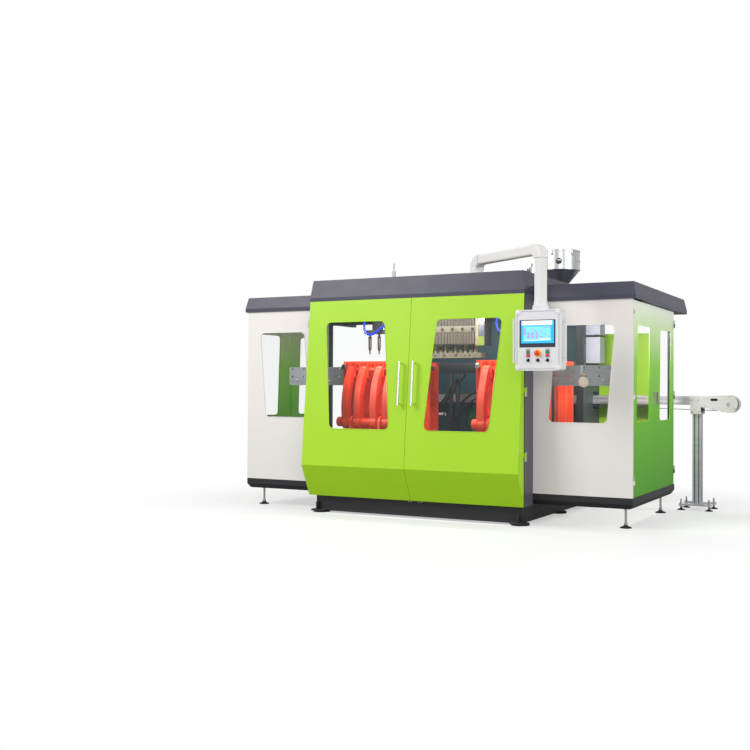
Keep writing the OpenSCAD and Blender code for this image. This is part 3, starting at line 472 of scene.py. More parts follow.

# %% [markdown]
# ### Frame, die head and conveyor
# The strip beside the doors is grey sheet on a dark frame. The bays' back wall is teal, and behind the
# right cabin it goes on as a green guard with a dark top. The die head has one bright half shell beside
# each lip. The conveyor is bare profile with a painted end, and its stand is a grooved column on pads,
# with painted shade in the grooves.

# %% Frame, head and conveyor
HEAD_X, LIP_PITCH, LIP_COUNT = 0.130, 0.115, 5
SHELL_FOOT, SHELL_SPAN = 1.6905, (0.0095, 0.0505)
STAND_X, STAND_Y = 2.340, 2.400
STRIP_X, WALL_X, BOX_X = 1.1948, 1.2, 1.2005
GUARD_TOP = 1.8905
HEAD_TOP, HEAD_SIDE = 2.1499, 0.4235
GROOVE_Y = (0.6515, 0.6525)
FOOT_RUBBER, PAD_RUBBER = 0.032, 0.0495
COLUMN_Z, COLUMN_CORE = (0.07, 1.049), 0.0465
PLATE_X, LEG_END_X, LEG_TOP = 2.2801, 2.60, 1.10


def shell_side(p):
    """True on the bright half shells to the right of each die lip."""
    from_lip = (p.x - HEAD_X + LIP_COUNT / 2 * LIP_PITCH) % LIP_PITCH - LIP_PITCH / 2
    return p.z > SHELL_FOOT and SHELL_SPAN[0] < from_lip < SHELL_SPAN[1]


def in_slot(p):
    """True inside the grooves of the stand's column, which get a dark grey as painted shade."""
    from_axis = max(abs(p.x - STAND_X), abs(p.y - STAND_Y))
    return COLUMN_Z[0] < p.z < COLUMN_Z[1] and from_axis < COLUMN_CORE


dress("levelling_feet", rubber_black, (zinc, lambda p: p.z > FOOT_RUBBER))
dress("main_frame", dark_iron, (trim_grey, lambda p: abs(p.x) > STRIP_X), (pale_grey, lambda p: p.x > BOX_X))
dress("rear_panel", teal_coat,
      (slate, lambda p: p.x > WALL_X), (lime, lambda p: p.x > WALL_X and p.z < GUARD_TOP))
dress("die_head", tan_steel,
      (dark_iron, lambda p: p.z > HEAD_TOP or GROOVE_Y[0] < p.y < GROOVE_Y[1]),
      (bright_steel, lambda p: p.x > HEAD_SIDE))
dress("die_lips", tan_plate, (shell_plate, shell_side))
dress("conveyor_frame", anodised,
      (boom_white, lambda p: p.x > PLATE_X), (dark_iron, lambda p: p.z < LEG_TOP and p.x < LEG_END_X))
dress("conveyor_stand", anodised,
      (rubber_black, lambda p: p.z < PAD_RUBBER), (boom_white, lambda p: p.z > COLUMN_Z[1]),
      (slot_shade_dark, in_slot))
print("dressed:", len(nodes), "nodes")

# %% [markdown]
# ## Tools for the small pieces
# Every small piece ends the same way: its place goes into its mesh, its edges are shaded smooth where
# they are blunt, it takes a finish, and it rides on the body that carries it.


# %% Selecting and settling
def only(*pieces):
    """Selects these pieces alone. The first is the active one."""
    bpy.ops.object.select_all(action="DESELECT")
    for piece in pieces:
        piece.select_set(True)
    bpy.context.view_layer.objects.active = pieces[0]


def settle(piece, name, material, body="machine", crease=35):
    """Names a piece, puts its place in its mesh, paints it and lets it ride on a body."""
    only(piece)
    bpy.ops.object.transform_apply(location=True, rotation=True, scale=True)
    piece.name = name
    piece.data.materials.clear()
    piece.data.materials.append(material)
    bpy.ops.object.shade_smooth_by_angle(angle=math.radians(crease))
    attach(piece, body)
    return piece


# %% [markdown]
# A plate or bracket starts from a cube that is stretched between two corners. Real edges are never
# sharp, so they are bevelled in edit mode, where the bevel keeps one width on all sides.


# %% Blocks
def cut_block(low, high, edge=0.002, segments=2):
    """A block between two corners, with its edges broken."""
    low, high = Vector(low), Vector(high)
    bpy.ops.object.select_all(action="DESELECT")
    bpy.ops.mesh.primitive_cube_add(size=1, location=(low + high) / 2)
    piece = bpy.context.object
    piece.scale = high - low
    bpy.ops.object.transform_apply(location=True, rotation=False, scale=True)
    bpy.ops.object.mode_set(mode="EDIT")
    bpy.ops.mesh.select_all(action="SELECT")
    bpy.ops.mesh.bevel(offset=edge, segments=segments, affect="EDGES")
    bpy.ops.object.mode_set(mode="OBJECT")
    return piece


# %% [markdown]
# Screws, nuts and collars come from a lathe. A disc that is extruded and resized step by step gives the
# same shape. With six sides it is a nut, with many it is a round head.


# %% Turned parts
def turned(place, direction, steps, sides=20):
    """A turned part: a disc that is pulled out along a direction. Steps are (radius, distance)."""
    foot = steps[0][1]
    bpy.ops.object.select_all(action="DESELECT")
    bpy.ops.mesh.primitive_circle_add(vertices=sides, radius=steps[0][0], fill_type="NGON")
    piece = bpy.context.object
    bpy.ops.object.mode_set(mode="EDIT")
    bpy.ops.mesh.select_all(action="SELECT")
    for (r0, h0), (r1, h1) in zip(steps, steps[1:]):
        bpy.ops.mesh.extrude_region_move(TRANSFORM_OT_translate={"value": (0, 0, h1 - h0)})
        bpy.ops.transform.resize(value=(r1 / r0, r1 / r0, 1), center_override=(0, 0, h1 - foot))
    bpy.ops.mesh.select_all(action="SELECT")
    bpy.ops.mesh.normals_make_consistent(inside=False)
    bpy.ops.object.mode_set(mode="OBJECT")
    turn = Vector(direction).to_track_quat("Z", "Y").to_matrix().to_4x4()
    piece.matrix_world = Matrix.Translation(Vector(place)) @ turn @ Matrix.Translation((0, 0, foot))
    return piece


# %% [markdown]
# A row of equal parts is modelled once. Its copies are joined to it, because a row of screws in one
# plate never comes apart.


# %% Copies and joins
def joined(*pieces):
    """One piece from several, with their places in their meshes."""
    only(*pieces)
    bpy.ops.object.transform_apply(location=True, rotation=True, scale=True)
    bpy.ops.object.join()
    return pieces[0]


def repeat(piece, offsets):
    """Copies a piece by each offset and joins the copies to it."""
    only(piece)
    bpy.ops.object.transform_apply(location=True, rotation=True, scale=True)
    made = []
    for offset in offsets:
        only(piece)
        bpy.ops.object.duplicate_move(TRANSFORM_OT_translate={"value": tuple(offset)})
        made.append(bpy.context.selected_objects[0])
    only(piece, *made)
    bpy.ops.object.join()
    return piece


# %% [markdown]
# Hoses, seals and beads are tubes along a line. A curve with a round bevel makes them at once, and turns
# into a mesh so that it can be settled like the rest.


# %% Tubes
def tube(points, radius, closed=False, resolution=2):
    """A round tube along a line of points, as a mesh."""
    curve = bpy.data.curves.new("line", "CURVE")
    curve.dimensions = "3D"
    curve.bevel_depth = radius
    curve.bevel_resolution = resolution
    curve.use_fill_caps = not closed
    line = curve.splines.new("POLY")
    line.points.add(len(points) - 1)
    for point, place in zip(line.points, points):
        point.co = (*place, 1)
    line.use_cyclic_u = closed
    piece = bpy.data.objects.new("line", curve)
    bpy.context.scene.collection.objects.link(piece)
    only(piece)
    bpy.ops.object.convert(target="MESH")
    return bpy.context.object


def smooth_line(points, count=24):
    """Points of an even curve through the given ones."""
    points = [Vector(p) for p in points]
    ends = [2 * points[0] - points[1], *points, 2 * points[-1] - points[-2]]
    out = []
    steps = max(2, round(count / (len(points) - 1)))
    for a, b, c, d in zip(ends, ends[1:], ends[2:], ends[3:]):
        for k in range(steps):
            t = k / steps
            out.append(0.5 * (2 * b + (c - a) * t + (2 * a - 5 * b + 4 * c - d) * t * t
                              + (3 * b - a - 3 * c + d) * t * t * t))
    return out + [points[-1]]


# %% [markdown]
# ## Air hoses and cables
# Two blue air hoses hang from the frame in front of the blow pins. They are free only between their two
# fittings, so their route is the one of the solids they replace: down from the frame, a low bow, and up
# into the cylinder. The points were set along the hose in the photograph.

# %% Blue air hoses
STATIONS = (("left", -0.65), ("right", 0.91))
HOSE_Y, HOSE_RADIUS = 0.655, 0.0118
HOSE_ROUTE = [(-225, 2115), (-225, 2095), (-232, 2068), (-246, 2036), (-252, 2000), (-250, 1965),
              (-240, 1935), (-220, 1914), (-186, 1904), (-150, 1906), (-116, 1920), (-84, 1942),
              (-52, 1966), (-18, 1990), (16, 2014), (46, 2042), (68, 2070), (76, 2095), (76, 2115)]
HOSE_SOCKET = [(0.017, -0.001), (0.017, 0.016), (0.0145, 0.018), (0.0145, 0.034), (0.0125, 0.036)]
DOWN, FORWARD, UP = (0, 0, -1), (0, -1, 0), (0, 0, 1)


def line_length(points):
    """The length of a line through its points."""
    return sum((Vector(b) - Vector(a)).length for a, b in zip(points, points[1:]))


def free_hose(name, points, radius, material, body):
    """A hose that goes back into the machine, as a smooth tube through its points."""
    points = smooth_line(points, 36)
    piece = settle(tube(points, radius, resolution=4), name, material, body, crease=60)
    return piece


for side, station in STATIONS:
    route = [(station + x / 1000, HOSE_Y, z / 1000) for x, z in HOSE_ROUTE]
    hose = free_hose(f"{side}_air_hose", route, HOSE_RADIUS, hose_blue, "machine")
    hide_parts("air_hoses")
    for k, end in enumerate((route[0], route[-1])):
        settle(turned(end, DOWN, HOSE_SOCKET, 12), f"{side}_hose_fitting_{k}", zinc)
print("each air hose:", round(line_length(route), 3), "m")

# %% [markdown]
# ## The operator panel
# The touch screen has a dark bezel, and its picture here is a made-up page of status cells. Thin lit
# tiles make it, each kind a little further out than the one below, so that no two faces fight.

# %% Screen picture
screen_low, screen_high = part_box("hmi_screen")
panel_low, panel_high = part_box("hmi_housing")


def glow(name, colour, strength):
    """A lit area of the screen."""
    material = finish_of(name, colour, 0.25)
    shader = material.node_tree.nodes["Principled BSDF"]
    shader.inputs["Emission Color"].default_value = (*paint_value(*colour), 1)
    shader.inputs["Emission Strength"].default_value = strength
    return material


cell_blue = glow("screen_blue", (40, 178, 250), 0.35)
cell_cyan = glow("screen_cyan", (120, 222, 252), 0.35)
cell_white = glow("screen_white", (238, 240, 250), 0.3)
cell_violet = glow("screen_violet", (176, 130, 232), 0.3)
TILE_BACK, TILE_EDGE = 0.0004, 0.0001
display_x = (screen_low.x + 0.016, screen_high.x - 0.012)
display_z = (screen_low.z + 0.036, screen_high.z - 0.007)


def cells(name, areas, material, proud):
    """Flat tiles on the screen. An area is (left, top, right, bottom), each from 0 to 1."""
    tiles = []
    w, h = display_x[1] - display_x[0], display_z[1] - display_z[0]
    for left, top, right, bottom in areas:
        low = (display_x[0] + left * w, screen_low.y - proud, display_z[1] - bottom * h)
        high = (display_x[0] + right * w, screen_low.y + TILE_BACK, display_z[1] - top * h)
        tiles.append(cut_block(low, high, TILE_EDGE, 1))
    settle(joined(*tiles), name, material, "operator_panel")


headers = [(0.02, 0.0, 0.95, 0.20), (0.08, 0.85, 0.50, 0.89), (0.53, 0.80, 0.91, 0.86)]
grid = [(x, 0.51 + 0.075 * k, x + 0.085, 0.565 + 0.075 * k) for x in (0.18, 0.31, 0.44) for k in range(4)]
grid += [(0.075, 0.33 + 0.08 * k, 0.15, 0.39 + 0.08 * k) for k in range(4)]
spots = [(0.30, 0.35, 0.39, 0.39), (0.41, 0.42, 0.49, 0.46), (0.56, 0.41, 0.65, 0.45),
         (0.59, 0.50, 0.68, 0.54), (0.69, 0.58, 0.79, 0.62), (0.57, 0.69, 0.67, 0.73),
         (0.82, 0.67, 0.91, 0.71), (0.69, 0.31, 0.79, 0.35), (0.82, 0.31, 0.91, 0.35),
         (0.69, 0.73, 0.79, 0.745)]
cells("display_field", [(0, 0.0, 1, 1)], cell_blue, 0.0006)
cells("display_page", [(0.07, 0.26, 0.90, 0.90)], cell_cyan, 0.0009)
cells("display_header", headers, cell_white, 0.0012)
cells("display_cells", grid + spots, cell_violet, 0.0012)
print("screen cells:", len(grid) + len(spots))

# %% [markdown]
# The panel is a cast enclosure. Its front door shows as a seam with round corners, and a turned cap
# covers each corner's screw. The seam is a thin tube along an outline of points: straight sides need
# none, so only the corners are worked out.


# %% Panel door and corner caps
def round_ring(x, z, r, lean=0.0, steps=5):
    """Points of an upright outline with round corners: across and up. Its top leans by an offset."""
    corners = ((x[1] + lean - r, z[1] - r, 0), (x[0] + lean + r, z[1] - r, 90),
               (x[0] + r, z[0] + r, 180), (x[1] - r, z[0] + r, 270))
    points = []
    for cx, cz, start in corners:
        for k in range(steps + 1):
            a = math.radians(start + 90 * k / steps)
            points.append((cx + r * math.cos(a), cz + r * math.sin(a)))
    return points


GRIP_WIDTH, NECK_HEIGHT = 0.042, 0.090
SEAM_IN, SEAM_CORNER, SEAM_RADIUS, CAP_IN = 0.016, 0.03, 0.0022, 0.0252
CORNER_CAP = [(0.0255, 0), (0.0255, 0.006), (0.022, 0.0085), (0.006, 0.009)]
face_y = screen_low.y + 0.003
door_x = (panel_low.x + GRIP_WIDTH, panel_high.x - GRIP_WIDTH)
door_z = (panel_low.z, panel_high.z - NECK_HEIGHT)
seam_grey = plastic("seam_grey", (150, 150, 158), 0.6)
seam_x = (door_x[0] + SEAM_IN, door_x[1] - SEAM_IN)
seam_z = (door_z[0] + SEAM_IN, door_z[1] - SEAM_IN)
seam = [(x, face_y, z) for x, z in round_ring(seam_x, seam_z, SEAM_CORNER)]
settle(tube(seam, SEAM_RADIUS, closed=True), "panel_seam", seam_grey, "operator_panel", 60)
caps = [(x, face_y + 0.003, z) for x in (door_x[0] + CAP_IN, door_x[1] - CAP_IN)
        for z in (door_z[0] + CAP_IN, door_z[1] - CAP_IN)]
for k, place in enumerate(caps):
    settle(turned(place, FORWARD, CORNER_CAP, 32), f"panel_corner_{k}", panel_white, "operator_panel", 50)
print("panel door:", round(door_x[1] - door_x[0], 3), "by", round(door_z[1] - door_z[0], 3), "m")

# %% [markdown]
# ### Buttons
# Two twin buttons, green over red, each sit in a grey frame with a small lamp above. The caps are
# pieces of their own that ride on the buttons' bodies, so that they go in when a button is pressed.

# %% Twin buttons
FRAME_HALF, BUTTON_HALF, PROUD = 0.019, 0.0145, 0.0035
BUTTON_LAMP = [(0.004, 0), (0.004, 0.002), (0.002, 0.003)]
for name in ("left", "right"):
    low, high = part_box(f"start_button_{name}")
    stop_low, stop_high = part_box(f"stop_button_{name}")
    middle = (low.x + high.x) / 2
    frame_low = (middle - FRAME_HALF, face_y - PROUD, stop_low.z - 0.005)
    frame_high = (middle + FRAME_HALF, face_y + 0.001, high.z + 0.016)
    settle(cut_block(frame_low, frame_high), f"button_frame_{name}", seam_grey, "operator_panel")
    halves = ((f"start_button_{name}", low.z + 0.0004, high.z + 0.001, green_plastic),
              (f"stop_button_{name}", stop_low.z - 0.001, stop_high.z - 0.0004, red_plastic))
    for body, bottom, top, paint in halves:
        cap = cut_block((middle - BUTTON_HALF, low.y - PROUD, bottom),
                        (middle + BUTTON_HALF, low.y + 0.0002, top), 0.0012)
        settle(cap, f"{body}_cap", paint, body)
    settle(turned((middle, face_y - 0.0034, high.z + 0.009), FORWARD, BUTTON_LAMP, 12),
           f"button_lamp_{name}", lamp_white, "operator_panel")

# %% [markdown]
# The emergency stop is a mushroom on a neck, over a yellow disc. The plain solid of the pack has the
# right place and stroke, and the turned mushroom replaces it. Each selector gets a ring and a pale mark,
# and the mark rides on the knob to show where it points.

# %% Emergency stop and selectors
MUSHROOM = [(0.013, -0.0156), (0.013, 0), (0.021, 0.001), (0.0245, 0.006), (0.024, 0.012),
            (0.018, 0.0175), (0.009, 0.0195)]
STOP_DISC = [(0.033, 0), (0.033, 0.006), (0.031, 0.0075), (0.017, 0.0076)]
KNOB_RING = [(0.0165, 0), (0.0165, 0.003), (0.0145, 0.0045), (0.0114, 0.0046)]
low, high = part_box("emergency_stop")
centre = (low + high) / 2
mushroom = turned((centre.x, low.y + 0.020, centre.z), FORWARD, MUSHROOM, 32)
settle(mushroom, "stop_mushroom", stop_red, "emergency_stop", 50)
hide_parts("emergency_stop")
settle(turned((centre.x, face_y + 0.003, centre.z), FORWARD, STOP_DISC, 36),
       "stop_disc", stop_yellow, "operator_panel")
for name in ("left", "middle", "right"):
    low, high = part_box(f"selector_{name}")
    centre = (low + high) / 2
    settle(turned((centre.x, face_y + 0.001, centre.z), FORWARD, KNOB_RING, 28),
           f"selector_ring_{name}", knob_black, "operator_panel")
    mark = cut_block((centre.x - 0.0012, low.y - 0.0005, centre.z + 0.001),
                     (centre.x + 0.0012, low.y + 0.001, centre.z + 0.0125), 0.0003, 1)
    settle(mark, f"selector_mark_{name}", lamp_white, f"selector_{name}")
print("panel pieces are in")

# %% [markdown]
# ## Beads round the windows
# The sheet is flanged round every window, and the flange catches the light as a bright line. A tube
# along the window's outline gives that line and hides the edge of the pane. The front doors lean out
# below, so their outline is laid on the leaning face.

# %% Window beads
DOOR_TOP, FOLD_Z, FOLD_OUT = 2.225, 0.510, 0.160
CABIN_FACE_Y, END_FACE_X = 0.2502, 2.1702
DOOR_BEAD, WALL_BEAD = 0.0045, 0.004


def door_y(z):
    """Y of a front door's face at a height above its fold."""
    return -FOLD_OUT * (DOOR_TOP - z) / (DOOR_TOP - FOLD_Z)


def bead(name, points, radius, material, body):
    """A closed tube along a window's outline."""
    settle(tube(points, radius, closed=True), name, material, body, 60)


ring = round_ring((0.195, 0.890), (0.893, 2.001), 0.055, lean=0.090)
for side, sign in SIDES:
    points = [(sign * x, door_y(z) + 0.0005, z) for x, z in ring]
    bead(f"{side}_door_bead", points, DOOR_BEAD, lime, f"{side}_door")
ring = round_ring((1.352, 1.930), (0.990, 1.925), 0.050, lean=0.070)
for side, sign in SIDES:
    points = [(sign * x, CABIN_FACE_Y, z) for x, z in ring]
    bead(f"{side}_cabin_bead", points, WALL_BEAD, white_coat, "machine")
for end, y_span in (("front", (0.380, 0.860)), ("rear", (1.310, 1.790))):
    ring = round_ring(y_span, (0.997, 1.930), 0.045, lean=0.037)
    for side, sign in SIDES:
        points = [(sign * END_FACE_X, y, z) for y, z in ring]
        bead(f"{side}_end_bead_{end}", points, WALL_BEAD, painted_light_leaf, f"{side}_end_door_{end}")
print("door's face at mid height: y", round(door_y(1.4), 3))

# %% [markdown]
# ## Screws, bolts and nuts
# A head is turned from a disc with a hexagon or a round outline, and copied to all its places in one go.
# The carrier plates on the front platens have washers under their bolts, a round boss with a nipple, and
# a narrow scale beside it.

# %% Bolts of the carrier plates
BOLT = [(0.011, 0), (0.011, 0.008), (0.0095, 0.0095), (0.003, 0.0096)]
WASHER_BOLT = [(0.017, 0), (0.017, 0.002), (0.011, 0.0022), (0.011, 0.012), (0.006, 0.0125)]
ROUND_BOSS = [(0.052, 0), (0.052, 0.006), (0.047, 0.010), (0.020, 0.0105)]
NIPPLE = [(0.010, 0), (0.010, 0.014), (0.007, 0.018)]
PLATE_Y = 0.4702
BOSS_X = 1.638
LEFT_PLATEN, RIGHT_PLATEN = "left_front_platen", "right_front_platen"


def bolts(name, places, direction, material, body="machine", steps=BOLT, sides=12):
    """One piece from a head that is turned once and copied to all its places."""
    first = turned(places[0], direction, steps, sides)
    offsets = [Vector(p) - Vector(places[0]) for p in places[1:]]
    settle(repeat(first, offsets), name, material, body)


left_row = [(x, PLATE_Y, 1.400) for x in (-1.66, -1.36)]
right_row = [(x, PLATE_Y, 1.401) for x in (1.360, 1.511, 1.826, 2.04)]
bolts("left_beam_bolts", left_row, FORWARD, zinc, LEFT_PLATEN, WASHER_BOLT, 20)
bolts("right_beam_bolts", right_row, FORWARD, zinc, RIGHT_PLATEN, WASHER_BOLT, 20)
settle(turned((BOSS_X, PLATE_Y, 1.383), FORWARD, ROUND_BOSS, 32), "beam_boss", cream_plate, RIGHT_PLATEN)
settle(cut_block((BOSS_X - 0.046, 0.462, 1.3455), (BOSS_X + 0.046, PLATE_Y, 1.384), 0.003),
       "beam_boss_foot", cream_plate, RIGHT_PLATEN)
settle(turned((1.645, 0.4705, 1.452), FORWARD, NIPPLE, 16), "beam_nipple", stop_yellow, RIGHT_PLATEN)
settle(cut_block((1.607, 0.4665, 1.455), (1.631, 0.4705, 1.5449), 0.001),
       "beam_scale", pale_grey, RIGHT_PLATEN)
settle(cut_block((-1.30, 0.459, 1.385), (-1.225, 0.4705, 1.401), 0.005, 3),
       "left_beam_pointer", cream_plate, LEFT_PLATEN)
print("carrier bolts:", len(left_row) + len(right_row))

# %% [markdown]
# The platens are bolted down both edges, and the tie bars end in polished caps. The arms turn on a shaft
# whose red bosses stand out at both sides. The outer boss of the right clamp is left out, because the
# side wall leaves no room for it.

# %% Platen bolts, bar ends and shaft bosses
BAR_END_Y, BAR_X, BOLT_X = 0.3702, 0.344, 0.345
SHAFT_Y, SHAFT_Z, BOSS_START = 0.270, 0.955, 0.296
BAR_END = [(0.029, 0), (0.029, 0.004), (0.024, 0.008), (0.010, 0.0085)]
SHAFT_BOSS = [(0.052, 0), (0.052, 0.050), (0.046, 0.056), (0.020, 0.057)]
for side, station in STATIONS:
    places = [(station + x, PLATE_Y, z) for x in (-BOLT_X, BOLT_X) for z in (0.70, 0.92, 1.16, 1.42)]
    bolts(f"{side}_platen_bolts", places, FORWARD, zinc, f"{side}_front_platen")
    places = [(station + x, BAR_END_Y, z) for x in (-BAR_X, BAR_X) for z in (0.62, 1.544)]
    bolts(f"{side}_bar_ends", places, FORWARD, ground_steel, f"{side}_clamp", BAR_END, 24)
    for end, sign in SIDES if side == "left" else SIDES[:1]:
        settle(turned((station + sign * BOSS_START, SHAFT_Y, SHAFT_Z), (sign, 0, 0), SHAFT_BOSS, 32),
               f"{side}_shaft_cap_{end}", red_enamel, f"{side}_arms")
print("bolts are in")

# %% [markdown]
# ## The die head
# The head melts the plastic into five hanging tubes, one below each lip. A plain band crosses its fins
# with one sight hole for each lip. Each hole is a dark collar whose solid black middle is painted shade for
# the open hole, and a thin brown probe leans out of it.

# %% Band and probes
LIPS = [HEAD_X + (k - LIP_COUNT // 2) * LIP_PITCH for k in range(LIP_COUNT)]
SIGHT_COLLAR = [(0.018, 0), (0.018, 0.0025), (0.014, 0.003), (0.012, 0.001)]
SIGHT_PROBE = [(0.0035, 0), (0.0035, 0.028), (0.0025, 0.030)]
LEANING_OUT = (-0.55, -0.65, -0.5)
settle(cut_block((-0.1625, 0.6385, 1.907), (0.4225, 0.6525, 1.973), 0.001), "sight_band", tan_plate)
# Each collar's solid black middle is painted shade where the sight hole would be open.
bolts("sight_collars_hole_shade", [(x + 0.035, 0.6390, 1.936) for x in LIPS], FORWARD, rubber_black,
      steps=SIGHT_COLLAR, sides=20)
bolts("sight_probes", [(x + 0.038, 0.6400, 1.933) for x in LIPS], LEANING_OUT, pin_brown,
      steps=SIGHT_PROBE, sides=10)
print("lips at x:", [round(x, 3) for x in LIPS])

# %% [markdown]
# Cover plates close the head's right end, a yellow tag hangs at its left, and each lip is held by bolts
# and a hexagon nut. A black lead runs along the foot of each heater.

# %% Plates, nuts and heater leads
LIP_BOLT = [(0.008, 0), (0.008, 0.004), (0.004, 0.0045)]
LIP_NUT = [(0.012, 0), (0.012, 0.008), (0.009, 0.010)]
LEAD = [(-0.045, 0.632, 1.772), (-0.020, 0.622, 1.764), (0.010, 0.620, 1.768), (0.04, 0.632, 1.774)]
settle(cut_block((0.4232, 0.6465, 1.768), (0.4560, 0.6505, 2.149), 0.001), "head_edge_plate", shell_plate)
settle(cut_block((0.4580, 0.6475, 1.860), (0.5200, 0.6505, 1.980), 0.001), "head_cover_plate", trim_grey)
settle(cut_block((-0.2300, 0.6650, 1.668), (-0.1520, 0.6800, 1.692)), "yellow_tag", stop_yellow)
bolts("lip_bolts", [(x + LIP_PITCH / 2, 0.6602, 1.663) for x in LIPS[:-1]], FORWARD, rubber_black,
      steps=LIP_BOLT)
bolts("lip_nuts", [(x - 0.022, 0.7191, 1.742) for x in LIPS], FORWARD, rubber_black, steps=LIP_NUT, sides=6)
leads = [tube(smooth_line([(x + dx, y, z) for dx, y, z in LEAD], 12), 0.006) for x in LIPS]
settle(joined(*leads), "heater_leads", hose_black, "machine", 60)

# %% [markdown]
# ## The back of the bay
# Behind the clamps a black frame of square tube stands between the rear posts, with a brace across it.
# The brace is cut along the Z axis, where its corners are easy to say, and then turned into its place.

# %% Rear frame and fan guard
TUBE = 0.040
GUARD = [(0.290, 0), (0.290, 0.020), (0.276, 0.028), (0.250, 0.030), (0.240, 0.024), (0.070, 0.024),
         (0.060, 0.036), (0.020, 0.038)]
settle(cut_block((-1.1149, 1.925, 1.500), (1.1149, 1.985, 1.620), 0.004), "rear_cross_beam", dark_iron)
for k, x in enumerate((-0.450, -0.360, 0.420)):
    settle(cut_block((x, 1.930, 0.1851), (x + TUBE, 1.930 + TUBE, 1.5002), 0.004),
           f"rear_upright_{k}", dark_iron)
brace = cut_block((-0.026, 1.930, -0.225), (0.026, 1.980, 0.225), 0.003)
brace.matrix_world = Matrix.Translation((-0.405, 0, 1.315)) @ Matrix.Rotation(math.radians(37), 4, "Y")
settle(brace, "rear_brace", dark_iron)
settle(turned((-0.170, 2.5555, 0.930), FORWARD, GUARD, 64), "fan_guard", green_enamel)

# %% [markdown]
# A small air cylinder lies along the frame. Its white barrel and its teal end rings are two finishes, so
# they are two pieces on one axis.

# %% Air cylinder
AXIS_Y, AXIS_Z = 1.905, 1.010
BARREL = [(0.021, 0), (0.021, 0.016), (0.017, 0.018), (0.017, 0.120), (0.021, 0.122), (0.021, 0.140),
          (0.008, 0.142)]
END_RING = [(0.0225, 0), (0.0225, 0.014), (0.020, 0.016)]
settle(turned((-0.620, AXIS_Y, AXIS_Z), (1, 0, 0), BARREL, 24), "air_cylinder", boom_white)
rings = [turned((x, AXIS_Y, AXIS_Z), (1, 0, 0), END_RING, 24) for x in (-0.621, -0.496)]
settle(joined(*rings), "air_cylinder_ends", teal_coat)
settle(cut_block((-0.560, 1.9215, 0.995), (-0.4485, 1.9300, 1.025), 0.001), "air_cylinder_bracket", dark_iron)

# %% [markdown]
# ### Hydraulic hoses
# Two black hoses rise from the deck, are clipped to the frame and run on to the conveyor's leg. The
# second follows the first, to its side on the way up and below it on the way back, so their gap is even.

# %% Hydraulic hoses
HOSE_FACE = 1.9155
HOSE_NUT = [(0.020, 0), (0.020, 0.012), (0.0165, 0.014), (0.0165, 0.030), (0.0142, 0.032)]
DECK_NUT = [(0.024, 0), (0.024, 0.016), (0.018, 0.018), (0.018, 0.040), (0.0142, 0.042)]
RISE = [(-0.395, HOSE_FACE, 0.186), (-0.395, HOSE_FACE, 0.340), (-0.392, HOSE_FACE, 0.600),
        (-0.380, HOSE_FACE, 0.860), (-0.345, HOSE_FACE, 1.040)]
BEND = [(-0.250, 1.912, 1.175), (-0.110, 1.910, 1.275), (0.060, 1.910, 1.330)]
RUN = [(0.250, 1.912, 1.350), (0.440, HOSE_FACE, 1.335), (0.560, 1.990, 1.290), (0.615, 2.110, 1.210),
       (0.630, 2.210, 1.150), (0.631, 2.264, 1.135)]
for k, shift in enumerate((0.0, 0.052)):
    points = [(x + shift, y, z) for x, y, z in RISE]
    points += [(x + shift, y, z - shift) for x, y, z in BEND]
    points += [(x, y, z - shift) for x, y, z in RUN]
    free_hose(f"hydraulic_hose_{k}", points, 0.014, hose_black, "machine")
    settle(turned((0.631, 2.2649, 1.135 - shift), FORWARD, HOSE_NUT, 6), f"hose_nut_{k}", zinc)
    settle(turned((-0.395 + shift, HOSE_FACE, 0.1851), UP, DECK_NUT, 6), f"deck_nut_{k}", zinc)
    print("hydraulic hose:", round(line_length(smooth_line(points, 36)), 3), "m")
settle(cut_block((0.424, 1.8980, 1.258), (0.456, 1.9302, 1.360), 0.004), "hose_clip_right", black_coat)
settle(cut_block((-0.366, 1.8980, 0.975), (-0.330, 1.9302, 1.020), 0.004), "hose_clip_left", black_coat)

# %% [markdown]
# ## Blow units
# Behind the pins hangs the black guide of the cylinder block, with its clamp screws. A rubber collar
# sits on each pin and goes down with it.

# %% Blow unit guides and pin collars
GUIDE_SCREW = [(0.008, 0), (0.008, 0.006), (0.005, 0.007)]
PIN_COLLAR = [(0.0185, 0), (0.0200, 0.003), (0.0200, 0.014), (0.0185, 0.017)]
for side, station in STATIONS:
    settle(cut_block((station - 0.030, 0.8205, 1.790), (station + 0.235, 0.8595, 1.9605), 0.004),
           f"{side}_unit_guide", black_coat)
    places = [(station + dx, 0.8206, z) for dx in (0.0, 0.205) for z in (1.82, 1.92)]
    bolts(f"{side}_guide_screws", places, FORWARD, zinc, steps=GUIDE_SCREW)
    collars = [(station + (k - LIP_COUNT // 2) * LIP_PITCH, 0.750, 1.868) for k in range(LIP_COUNT)]
    bolts(f"{side}_pin_collars", collars, UP, rubber_black, f"{side}_blow_pins", PIN_COLLAR, 20)
print("blow units are dressed")

# %% [markdown]
# ## Feet
# Each foot is a rubber pad on a threaded stem. A lock nut holds the stem under the skirt, and a second
# nut sits on the pad. The conveyor's stand has smaller ones. The round pads under the frame's front
# corners get a turned top and a small gusset.

